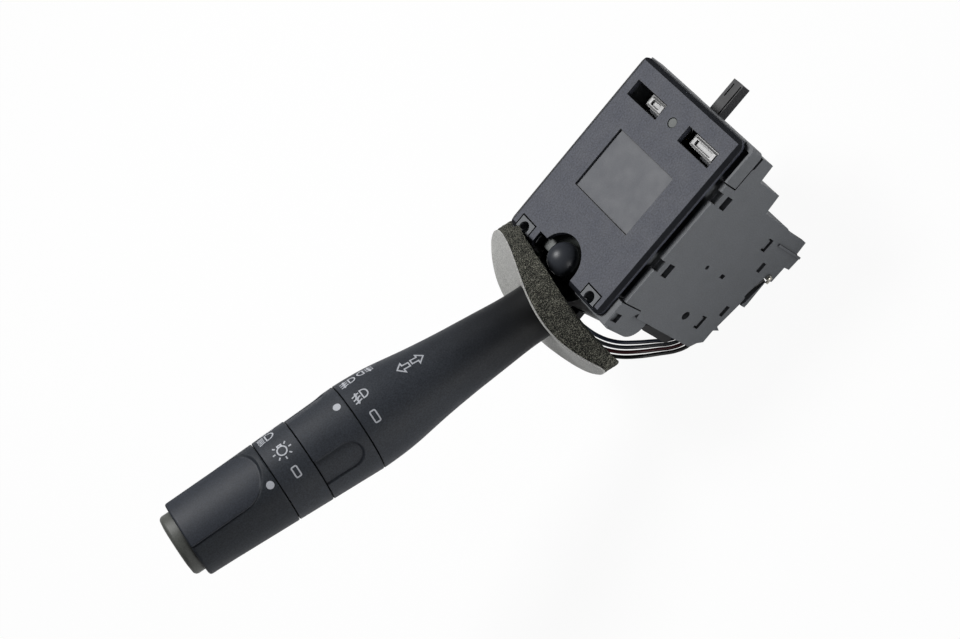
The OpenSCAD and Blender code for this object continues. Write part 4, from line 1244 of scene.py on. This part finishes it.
def bulb_sign() -> list[list[Point2]]:
    """Gives the side lamp mark: a bulb with rays round it.

    Returns:
        Its lines.
    """
    bulb = arc(0, 0, 1.68, 0, 360, 32)
    lines = [bulb[:-1] + [bulb[0]]]
    for ray in range(7):
        t = math.radians(45 + 45 * ray)
        lines.append([(reach * math.cos(t), reach * math.sin(t)) for reach in (2.55, 3.55)])
    lines.append([(1.5, -0.72), (2.4, -0.72), (2.4, 0.72), (1.5, 0.72)])
    return scaled(lines, MM)


def arrow_sign(way: float) -> list[list[Point2]]:
    """Gives one outlined arrow that points along the stalk.

    Args:
        way: 1 for an arrow to the tip, -1 for one to the housing.

    Returns:
        Its one closed line.
    """
    head, shaft = 2.1, 0.85
    foot, neck, point = 0.3, 2.7, 4.9
    line = [(-shaft, foot), (-shaft, neck), (-head, neck), (0.0, point), (head, neck), (shaft, neck),
            (shaft, foot), (-shaft, foot)]
    return scaled([[(u, v * way) for u, v in line]], MM)


@dataclass
class Prints:
    """The printed marks on the lever, ring, collar and knob.

    Attributes:
        frame: The stalk's frame.
        lever: The lever, whose surfaces carry the marks.
        palette: The finishes.
        dot: Radius of the two pointer dots.
    """

    frame: StalkFrame
    lever: Lever
    palette: Palette
    dot: float = 1.38 * MM

    def build(self) -> None:
        """Builds every mark."""
        ink = self.palette.get(Palette.marks)
        knob, ring = self.lever.knob_radius, self.lever.ring_radius
        collar, lever = self.lever.collar_radius, self.lever.lever_radius
        dot = [arc(0, 0, self.dot, 0, 345, 23)]
        marks = (
            Mark("dot_knob", "light_knob", -36, 132.9 * MM, knob, dot, filled=True),
            Mark("dot_ring", "fog_ring", -0.5, 100.6 * MM, ring, dot, filled=True),
            Mark("off_collar", "lever", -39.8, 123.4 * MM, collar, slot_sign(1.87, 0.95)),
            Mark("side_lamp", "lever", -7.3, 123.5 * MM, collar, bulb_sign()),
            Mark("dipped_lamp", "lever", 29, 125.6 * MM, collar, headlamp_sign(-0.6)),
            Mark("main_lamp", "lever", 52, 123.7 * MM, collar, headlamp_sign(0.0)),
            Mark("off_lever", "lever", -36.2, 91.8 * MM, lever, slot_sign(2.05, 1.0)),
            Mark("front_fog_low", "lever", -4.2, 91.4 * MM, lever, fog_sign(False)),
            Mark("front_fog_high", "lever", 28, 92.0 * MM, lever, fog_sign(False)),
            Mark("rear_fog_high", "lever", 31.5, 86.2 * MM, lever, fog_sign(True)),
            Mark("arrow_tip", "lever", 0, 72.0 * MM, lever, arrow_sign(1)),
            Mark("arrow_root", "lever", 1.5, 71.6 * MM, lever, arrow_sign(-1)),
        )
        for mark in marks:
            mark.build(self.frame, ink)


# Gasket


@dataclass(frozen=True)
class Layer:
    """One closed layer of the gasket.

    Attributes:
        name: Name of the piece.
        top: Station in millimetres of the outer face at a point of the plan.
        low: Station in millimetres of the face on the housing's side.
        rough: Height of the surface's unevenness in metres.
        rim_steps: Steps through the rim's thickness.
        rim_pull: Depth in millimetres by which the rim's two edges are rounded.
    """

    name: str
    top: Surface
    low: Surface
    rough: float
    rim_steps: int
    rim_pull: float


@dataclass
class Gasket:
    """The foam gasket, bent and twisted on the lever's neck, and the film on its outer side.

    Its sizes are millimetres in the stalk's frame, x towards the driver and y across.

    Attributes:
        frame: The stalk's frame.
        palette: The finishes.
        length: Length across the stalk.
        width: Width towards the driver.
        reach: Station of the film's face at the middle.
        slope: Rise of the face towards the plain side.
        lean: Rise of the face towards the driver.
        twist: Height by which the corners of the plan are wrung.
        bend: Height by which the ends fall back.
        bend_early: Share of the bend that starts at the middle already.
        curl: Height by which one end rises and the other falls besides.
        film: Thickness of the film.
        bond: Depth by which the foam starts below the film.
        thick: Thickness of the foam on the driver's side.
        thin: Thickness of the foam on the hidden side.
        wedge_start: Share of the thick side's thickness at the stalk's axis.
        wedge_length: Distance over which the foam grows from thin to thick.
        wave: Share by which the thickness swells and shrinks along the gasket.
        wave_turn: Half of that wave's turn over the length, in degrees.
        end_loss: Thickness that is lost at the two ends.
        hole: Radius of the hole.
        corner: Exponent that draws in the outline's corners.
        shift: Offset of the outline's middle.
        turn: Turn of the outline in degrees.
        front: Place of the housing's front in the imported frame.
        clearance: Gap that the foam keeps to the housing.
        rings: Steps from the hole to the rim.
        around: Steps round the gasket.
        fine_lumps: Fine lumps of the foam, per metre.
        broad_lumps: Broad lumps of the foam, per metre.
        broad_share: Height of the broad lumps against the fine ones.
        seed: Fixed seed of the lumps.
    """

    frame: StalkFrame
    palette: Palette
    length: float = 71.0
    width: float = 46.2
    reach: float = 24.6
    slope: float = -0.089
    lean: float = 0.05
    twist: float = 8.5
    bend: float = 4.7
    bend_early: float = 0.13
    curl: float = 2.7
    film: float = 0.6
    bond: float = 0.04
    thick: float = 8.4
    thin: float = 5.4
    wedge_start: float = 0.8
    wedge_length: float = 12.0
    wave: float = 0.245
    wave_turn: float = 200.0
    end_loss: float = 2.0
    hole: float = 10.07
    corner: float = 1.15
    shift: Point2 = (0.15, 0.35)
    turn: float = -1.5
    front: float = -3.0
    clearance: float = 0.4
    rings: int = 26
    around: int = 240
    fine_lumps: float = 900.0
    broad_lumps: float = 160.0
    broad_share: float = 0.8
    seed: int = 3

    def outer_station(self, x: float, y: float) -> float:
        """Gives the station of the film's face.

        Args:
            x: Offset towards the driver.
            y: Offset across the stalk.

        Returns:
            The station in millimetres.
        """
        u = 2 * y / self.length
        wrung = self.twist * 4 * x * y / (self.width * self.length)
        fall = self.bend * (self.bend_early * u ** 2 + (1 - self.bend_early) * u ** 4)
        return self.reach + self.slope * y + self.lean * x - wrung - fall + self.curl * u ** 3

    def film_back(self, x: float, y: float) -> float:
        """Gives the station of the film's side that lies on the foam."""
        return self.outer_station(x, y) - self.film

    def foam_face(self, x: float, y: float) -> float:
        """Gives the station of the foam's face under the film."""
        return self.film_back(x, y) - self.bond

    def inner_station(self, x: float, y: float) -> float:
        """Gives the station of the foam's face on the housing's side.

        Args:
            x: Offset towards the driver.
            y: Offset across the stalk.

        Returns:
            The station in millimetres.
        """
        u = 2 * y / self.length
        share = min(1.0, max(0.0, self.wedge_start + x / self.wedge_length))
        swell = 1 - self.wave * math.sin(math.radians(self.wave_turn * u))
        near = self.thick * swell - self.end_loss * u ** 8
        own = self.film_back(x, y) - self.thin - (near - self.thin) * share
        pivot = self.frame.pivot / MM
        back, lift = -self.frame.tip.x, self.frame.tip.z
        to_front = (pivot.x + lift * x - self.front + self.clearance) / back
        to_cover = (-pivot.z + self.clearance - back * x) / lift
        return max(own, min(to_front, to_cover))

    def plan_point(self, share: float, degrees: float) -> Point2:
        """Gives a point of the plan.

        Args:
            share: Share of the way from the hole to the rim.
            degrees: Angle about the stalk.

        Returns:
            The point's offsets in millimetres.
        """
        c, s = math.cos(math.radians(degrees)), math.sin(math.radians(degrees))
        qx = self.width / 2 * math.copysign(abs(c) ** self.corner, c)
        qy = self.length / 2 * math.copysign(abs(s) ** self.corner, s)
        ct, st = math.cos(math.radians(self.turn)), math.sin(math.radians(self.turn))
        rim = (self.shift[0] + qx * ct - qy * st, self.shift[1] + qx * st + qy * ct)
        start = (self.hole * c, self.hole * s)
        return (start[0] + (rim[0] - start[0]) * share, start[1] + (rim[1] - start[1]) * share)

    def row(self, layer: Layer, share: float, through: float, pull: float) -> list[Vector]:
        """Gives one row of a layer's points round the stalk.

        Args:
            layer: The layer.
            share: Share of the way from the hole to the rim.
            through: Share of the way from the outer face to the other one.
            pull: Distance in millimetres by which the row is drawn in.

        Returns:
            The row's points, without their unevenness.
        """
        line = []
        for i in range(self.around):
            x, y = self.plan_point(share, 360 * i / self.around)
            shrink = 1 - pull / math.hypot(x, y)
            x, y = x * shrink, y * shrink
            a, b = layer.top(x, y), layer.low(x, y)
            line.append(self.frame.local(x * MM, y * MM, (a + (b - a) * through) * MM))
        return line

    def roughened(self, row: Sequence[Vector], rough: float) -> list[Vector]:
        """Moves a row's points by the foam's unevenness.

        Args:
            row: The points.
            rough: Height of the unevenness in metres.

        Returns:
            The moved points.
        """
        moved = []
        for p in row:
            lumps = noise.noise_vector(p * self.fine_lumps)
            lumps += noise.noise_vector(p * self.broad_lumps) * self.broad_share
            moved.append(p + lumps * rough)
        return moved

    def build_layer(self, layer: Layer) -> bpy.types.Object:
        """Builds one closed layer between its two faces.

        Args:
            layer: The layer.

        Returns:
            The new object.
        """
        shares = [i / self.rings for i in range(self.rings)]
        rows = [self.row(layer, share, 0.0, 0.0) for share in shares]
        for i in range(layer.rim_steps + 1):
            through = i / layer.rim_steps
            rows.append(self.row(layer, 1.0, through, layer.rim_pull * abs(2 * through - 1) ** 6))
        rows += [self.row(layer, share, 1.0, 0.0) for share in reversed(shares)]
        rows[1:-1] = [self.roughened(row, layer.rough) for row in rows[1:-1]]
        return ringed_piece(layer.name, rows, 50)

    def build(self) -> None:
        """Builds the film and the foam."""
        noise.seed_set(self.seed)
        film = self.build_layer(
            Layer("gasket_film_sheet", self.outer_station, self.film_back, 0.03 * MM, 2, 0.0))
        dress(film, self.palette.get(Palette.film))
        enter(film, "lever", "gasket_film")
        foam = self.build_layer(
            Layer("gasket_foam_pad", self.foam_face, self.inner_station, 0.18 * MM, 16, 0.25))
        dress(foam, self.palette.get(Palette.foam))
        enter(foam, "lever", "gasket_foam")


# Wires


@dataclass
class Wires:
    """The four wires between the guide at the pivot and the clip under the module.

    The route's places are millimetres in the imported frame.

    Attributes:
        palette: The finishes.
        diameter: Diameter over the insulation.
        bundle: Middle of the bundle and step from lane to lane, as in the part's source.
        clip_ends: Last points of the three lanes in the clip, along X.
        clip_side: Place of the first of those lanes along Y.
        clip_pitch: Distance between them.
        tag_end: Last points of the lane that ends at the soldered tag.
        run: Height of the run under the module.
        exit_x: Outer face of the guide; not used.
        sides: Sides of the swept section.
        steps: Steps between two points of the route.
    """

    palette: Palette
    diameter: float = 1.4 * MM
    bundle: tuple[tuple[Point3, Point3], ...] = (
        ((-10, -0.15, -24.2), (0, 1.9, 0)), ((-13.8, -0.15, -24.2), (0, 1.9, 0)),
        ((-16, -2, -25.8), (-1.2, 1.4, -0.2)), ((-17.1, -5.2, -29.2), (-1.7, 0.7, -0.3)),
        ((-17, -9.2, -33), (-1.75, 0.1, -0.3)), ((-15.6, -13.6, -36.2), (-1.65, -0.5, -0.4)),
        ((-12.7, -17.7, -39.2), (-1.4, -0.85, -0.65)), ((-8.6, -21, -42.8), (-1, -1.45, -0.1)),
        ((-4.4, -22.8, -48.2), (-0.6, -1.7, 0)), ((-1.6, -23.2, -53.4), (-0.25, -1.85, 0)),
        ((1.8, -23.2, -57.3), (0, -1.95, 0)), ((7, -23, -58.6), (0, -2, 0)),
        ((13, -23, -58.6), (0, -2, 0)), ((19, -23, -58.6), (0, -2, 0)))
    clip_ends: tuple[float, ...] = (26.3, 32.3, 37.6)
    clip_side: float = -20.0
    clip_pitch: float = 2.0
    tag_end: tuple[Point3, ...] = (
        (25.7, -26.4, -58.7), (29.7, -27.8, -59), (33.9, -29.1, -59.8), (37.4, -29.5, -61))
    run: float = -58.6
    exit_x: float = -12.4
    sides: int = 16
    steps: int = 6

    def route(self, lane: int) -> list[Vector]:
        """Gives the route's points of the wire in a lane, as in the part's source.

        Args:
            lane: Number of the lane, 3 for the one that ends at the tag.

        Returns:
            The points in metres.
        """
        points = [Vector(middle) + (lane - 1.5) * Vector(step) for middle, step in self.bundle]
        if lane < 3:
            side = self.clip_side - self.clip_pitch * lane
            points += [Vector((x, side, self.run)) for x in self.clip_ends]
        else:
            points += [Vector(p) for p in self.tag_end]
        return [p * MM for p in points]

    def smooth(self, points: Sequence[Vector]) -> list[Vector]:
        """Gives a smooth line through the route's points.

        Args:
            points: The route's points.

        Returns:
            The line's points.
        """
        line = []
        for i in range(len(points) - 1):
            a, b = points[max(i - 1, 0)], points[i]
            c, d = points[i + 1], points[min(i + 2, len(points) - 1)]
            for k in range(self.steps):
                t = k / self.steps
                line.append(0.5 * (2 * b + (c - a) * t + (2 * a - 5 * b + 4 * c - d) * t * t
                                   + (3 * b - a - 3 * c + d) * t ** 3))
        line.append(points[-1])
        return line

    @staticmethod
    def tube_tree() -> bpy.types.NodeTree:
        """Builds the Geometry Nodes tree that sweeps a round section along a line.

        Returns:
            The node tree, with inputs for the radius, the sides and the material.
        """
        tree = bpy.data.node_groups.new("wire_tube", "GeometryNodeTree")
        for name, kind in (("Geometry", "NodeSocketGeometry"), ("Radius", "NodeSocketFloat"),
                           ("Sides", "NodeSocketInt"), ("Material", "NodeSocketMaterial")):
            tree.interface.new_socket(name, in_out="INPUT", socket_type=kind)
        tree.interface.new_socket("Geometry", in_out="OUTPUT", socket_type="NodeSocketGeometry")
        sheet = NodeSheet(tree)
        given = sheet.add("NodeGroupInput", {}).outputs
        curve = sheet.add("GeometryNodeMeshToCurve", {"Mesh": given["Geometry"]})
        circle = sheet.add("GeometryNodeCurvePrimitiveCircle", {
            "Radius": given["Radius"], "Resolution": given["Sides"]})
        sweep = sheet.add("GeometryNodeCurveToMesh", {
            "Curve": curve.outputs["Curve"], "Profile Curve": circle.outputs["Curve"], "Fill Caps": True})
        real = sheet.add("GeometryNodeRealizeInstances", {"Geometry": sweep.outputs["Mesh"]})
        dressed = sheet.add("GeometryNodeSetMaterial", {
            "Geometry": real.outputs["Geometry"], "Material": given["Material"]})
        sheet.add("NodeGroupOutput", {"Geometry": dressed.outputs["Geometry"]})
        return tree

    def build(self) -> None:
        """Builds the four wires."""
        tree = self.tube_tree()
        sockets = tree.interface.items_tree
        inputs = {item.name: item.identifier for item in sockets if item.in_out == "INPUT"}
        lanes = (("wire_blue", Palette.wire_blue), ("wire_grey", Palette.wire_grey),
                 ("wire_red", Palette.wire_red), ("wire_black", Palette.wire_black))
        for lane, (wire, finish) in enumerate(lanes):
            line = self.smooth(self.route(lane))
            mesh = bpy.data.meshes.new(wire + "_line")
            mesh.from_pydata([tuple(p) for p in line], [(i, i + 1) for i in range(len(line) - 1)], [])
            obj = place_in_scene(wire + "_insulation", mesh)
            sweep = obj.modifiers.new("tube", "NODES")
            sweep.node_group = tree
            sweep[inputs["Radius"]] = self.diameter / 2
            sweep[inputs["Sides"]] = self.sides
            sweep[inputs["Material"]] = self.palette.get(finish)
            apply_modifiers(obj)
            close_up(obj, 50)
            enter(obj, "housing", wire)


# Housing


@dataclass
class Housing:
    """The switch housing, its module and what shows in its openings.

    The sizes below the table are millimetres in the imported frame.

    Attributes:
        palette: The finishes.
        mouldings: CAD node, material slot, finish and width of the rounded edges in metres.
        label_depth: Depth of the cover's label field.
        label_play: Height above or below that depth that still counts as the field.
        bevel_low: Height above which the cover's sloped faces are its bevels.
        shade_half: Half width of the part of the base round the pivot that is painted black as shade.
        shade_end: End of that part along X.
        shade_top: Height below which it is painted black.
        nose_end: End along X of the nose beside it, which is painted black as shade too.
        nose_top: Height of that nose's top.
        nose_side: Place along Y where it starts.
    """

    palette: Palette
    mouldings: tuple[tuple[str, str, Finish, float], ...] = (
        ("top_cover", "housing_plastic", Palette.housing, 0.28 * MM),
        ("switch_base", "housing_plastic", Palette.module, 0.2 * MM),
        ("side_plate", "module_plastic", Palette.module, 0.22 * MM),
        ("contact_module", "module_plastic", Palette.module, 0.3 * MM),
        ("bearing_ring", "module_plastic", Palette.pin, 0.2 * MM),
        ("pawl_left", "nylon", Palette.nylon, 0.3 * MM),
        ("pawl_right", "nylon", Palette.nylon, 0.3 * MM),
        ("finger_pin", "nylon_grey", Palette.pin, 0.25 * MM),
        ("wire_clip", "module_plastic", Palette.module, 0.2 * MM),
        ("wire_guide", "black_plastic", Palette.black, 0.2 * MM),
        ("lead_strap", "wire_black", Palette.wire_black, 0.0),
        ("solder_tag", "steel", Palette.solder, 0.1 * MM),
        ("connector_block_a", "black_plastic", Palette.black, 0.2 * MM),
        ("connector_block_b", "black_plastic", Palette.black, 0.2 * MM),
    )
    label_depth: float = 0.8
    label_play: float = 0.12
    bevel_low: float = -4.0
    shade_half: float = 13.2
    shade_end: float = 14.0
    shade_top: float = -1.2
    nose_end: float = 3.5
    nose_top: float = -12.5
    nose_side: float = -20.0

    def build(self) -> None:
        """Dresses the housing's mouldings, paints the label field, and paints shade on the cover's bevels
        and round the pivot.
        """
        copies = {}
        for node, slot, finish, edge in self.mouldings:
            copies[node] = moulded_copy(node, "housing", self.palette.get(finish), edge)
        cover, base = copies["top_cover"], copies["switch_base"]
        painted = (
            ("label", cover, Palette.label, self.on_label),
            # Painted shade on the cover's bevels.
            ("bevel", cover, Palette.bevel, self.on_bevel),
            # Painted shade: black plastic on the base round the pivot and on the nose beside it.
            ("by the pivot", base, Palette.black, self.in_painted_pivot_shade),
        )
        for name, obj, finish, chosen in painted:
            LOG.info("%s: %d faces", name, paint(obj, self.palette.get(finish), chosen))

    def on_label(self, middle: Vector, normal: Vector) -> bool:
        """Tells whether a face of the cover is the label field's floor."""
        return normal.z > 0.9 and abs(middle.z + self.label_depth) < self.label_play

    def on_bevel(self, middle: Vector, normal: Vector) -> bool:
        """Tells whether a face of the cover lies on one of its bevels."""
        return 0.2 < normal.z < 0.97 and middle.z > self.bevel_low

    def in_painted_pivot_shade(self, middle: Vector, normal: Vector) -> bool:
        """Tells whether a face of the base lies in the painted shade round the pivot or on its nose.

        Args:
            middle: The face's middle in millimetres.
            normal: The face's normal.

        Returns:
            True in the shade.
        """
        x, y, z = middle
        in_well = abs(y) < self.shade_half and x < self.shade_end and z < self.shade_top
        return in_well or (x < self.nose_end and z < self.nose_top and y > self.nose_side)


@dataclass
class Mechanism:
    """The moving and hidden pieces that keep their CAD shapes.

    Attributes:
        palette: The finishes.
        subparts: Rows of the record, with the name and the material slot of each node.
        mouldings: CAD node, body, material slot, finish and width of the rounded edges in metres.
    """

    palette: Palette
    subparts: list[dict[str, str]]
    mouldings: tuple[tuple[str, str, str, Finish, float], ...] = (
        ("turn_drum", "turn_hub", "black_plastic", Palette.black, 0.2 * MM),
        ("pivot_dome", "turn_hub", "gloss_black", Palette.dome, 0.0),
        ("cancel_finger", "cancel_finger", "black_plastic", Palette.finger, 0.25 * MM),
        ("stalk_root", "lever", "black_plastic", Palette.black, 0.2 * MM),
    )

    def build(self, nodes: dict[str, bpy.types.Object]) -> None:
        """Gives every shown CAD node its finish.

        Args:
            nodes: The CAD nodes by name.
        """
        for node, body, slot, finish, edge in self.mouldings:
            moulded_copy(node, body, self.palette.get(finish), edge)
        by_slot = {
            "brass": Palette.brass, "steel": Palette.steel, "nylon": Palette.nylon,
            "module_plastic": Palette.module, "black_plastic": Palette.black}
        slots = {row["node"]: row["material_slot"] for row in self.subparts}
        for name, obj in nodes.items():
            if not obj.hide_render:
                dress(obj, self.palette.get(by_slot.get(slots.get(name, ""), Palette.black)))


# Studio


@dataclass
class Studio:
    """Camera, floor and lights.

    Attributes:
        eye: Place of the camera.
        right: Direction to the right of the picture.
        back: Direction from the object to the camera.
        lens: Focal length in millimetres.
        sensor: Width of the sensor in millimetres.
        floor_level: Height of the floor.
        floor_half: Half of its width.
        floor_grey: Share of light that it throws back.
        floor_glow: Light that it gives off besides.
        floor_white: Share of plain white in what the camera sees of it.
        world_dim: Light of the world on the object.
        lamps: Name, place in the camera's directions, diameter and power of each lamp.
    """

    eye: Point3 = (0.10324, -0.35975, 0.48445)
    right: Point3 = (0.6249, -0.526, -0.5769)
    back: Point3 = (0.2193, -0.5909, 0.7763)
    lens: float = 67.5
    sensor: float = 36.0
    floor_level: float = -0.0695
    floor_half: float = 3.0
    floor_grey: float = 0.92
    floor_glow: float = 0.2
    floor_white: float = 0.93
    world_dim: float = 0.03
    lamps: tuple[tuple[str, Point3, float, float], ...] = (
        ("key", (-0.55, 0.36, 0.28), 0.3, 4.2),
        ("side", (0.3, -0.3, 0.38), 0.25, 0.8),
        ("rim", (0.42, 0.42, -0.02), 0.22, 5.0),
    )

    def build(self) -> None:
        """Builds the studio round the object."""
        self.build_camera()
        self.build_floor()
        self.build_lights()
        self.build_world()
        bpy.context.scene.view_settings.view_transform = "Standard"

    def axes(self) -> Matrix:
        """Gives the camera's rotation, with its axes made square to each other.

        Returns:
            The rotation.
        """
        back = Vector(self.back).normalized()
        right = (Vector(self.right) - back * Vector(self.right).dot(back)).normalized()
        return Matrix((right, back.cross(right), back)).transposed()

    def build_camera(self) -> None:
        """Places the camera at the photograph's viewing angle."""
        data = bpy.data.cameras.new("photo_camera")
        data.lens = self.lens
        data.sensor_width = self.sensor
        data.clip_start = 0.01
        camera = place_in_scene("photo_camera", data)
        camera.matrix_world = Matrix.Translation(Vector(self.eye)) @ self.axes().to_4x4()
        bpy.context.scene.camera = camera

    def build_floor(self) -> None:
        """Lays the pale floor under the object."""
        material, sheet = new_material("pale_floor")
        grey = (self.floor_grey, self.floor_grey, self.floor_grey, 1)
        diffuse = sheet.add(NodeNames.DIFFUSE, {"Color": grey})
        glow = sheet.add(NodeNames.GLOW, {"Strength": self.floor_glow})
        lit = sheet.add(NodeNames.ADD_SHADER, {0: diffuse.outputs["BSDF"], 1: glow.outputs["Emission"]})
        white = sheet.add(NodeNames.GLOW, {"Strength": 1.0})
        seen = sheet.add(NodeNames.RAY, {}).outputs["Is Camera Ray"]
        mix = sheet.add(NodeNames.MIX_SHADER, {
            "Fac": sheet.times(seen, self.floor_white), 1: lit.outputs[0], 2: white.outputs["Emission"]})
        sheet.add(NodeNames.OUTPUT, {"Surface": mix.outputs["Shader"]})
        h, z = self.floor_half, self.floor_level
        floor = new_piece("floor", [(-h, -h, z), (h, -h, z), (h, h, z), (-h, h, z)], [(0, 1, 2, 3)])
        dress(floor, material)

    def build_lights(self) -> None:
        """Adds the soft lamps, each turned to the object."""
        axes = self.axes()
        for name, place, size, power in self.lamps:
            data = bpy.data.lights.new(name, "AREA")
            data.shape = "DISK"
            data.size = size
            data.energy = power
            lamp = place_in_scene(name, data)
            lamp.location = axes @ Vector(place)
            lamp.rotation_euler = lamp.location.to_track_quat("Z", "Y").to_euler()

    def build_world(self) -> None:
        """Adds the pale world, which looks white and lights the object a little."""
        world = bpy.data.worlds.new("studio")
        bpy.context.scene.world = world
        world.use_nodes = True
        sheet = NodeSheet(world.node_tree)
        dim, bright = [sheet.add(NodeNames.SKY, {"Color": (1, 1, 1, 1), "Strength": strength})
                       for strength in (self.world_dim, 1.0)]
        seen = sheet.add(NodeNames.RAY, {}).outputs["Is Camera Ray"]
        mix = sheet.add(NodeNames.MIX_SHADER, {
            "Fac": seen, 1: dim.outputs["Background"], 2: bright.outputs["Background"]})
        sheet.add(NodeNames.WORLD, {"Surface": mix.outputs["Shader"]})


def main() -> None:
    """Builds the scene."""
    logging.basicConfig(level=logging.INFO, format="%(message)s")
    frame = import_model()
    joints = {joint["name"]: joint for joint in frame["joints"]}
    tip = Vector(joints["light_knob_turn"]["axis"]).normalized()
    stalk = StalkFrame(Vector(joints["beam_tilt"]["pos_m"]), tip)
    palette = Palette()
    Studio().build()
    Wires(palette).build()
    lever = Lever(stalk, palette)
    lever.build()
    Prints(stalk, lever, palette).build()
    Gasket(stalk, palette).build()
    Housing(palette).build()
    Mechanism(palette, frame["record"]["subparts"]).build(frame["nodes"])


if __name__ == "__main__":
    main()
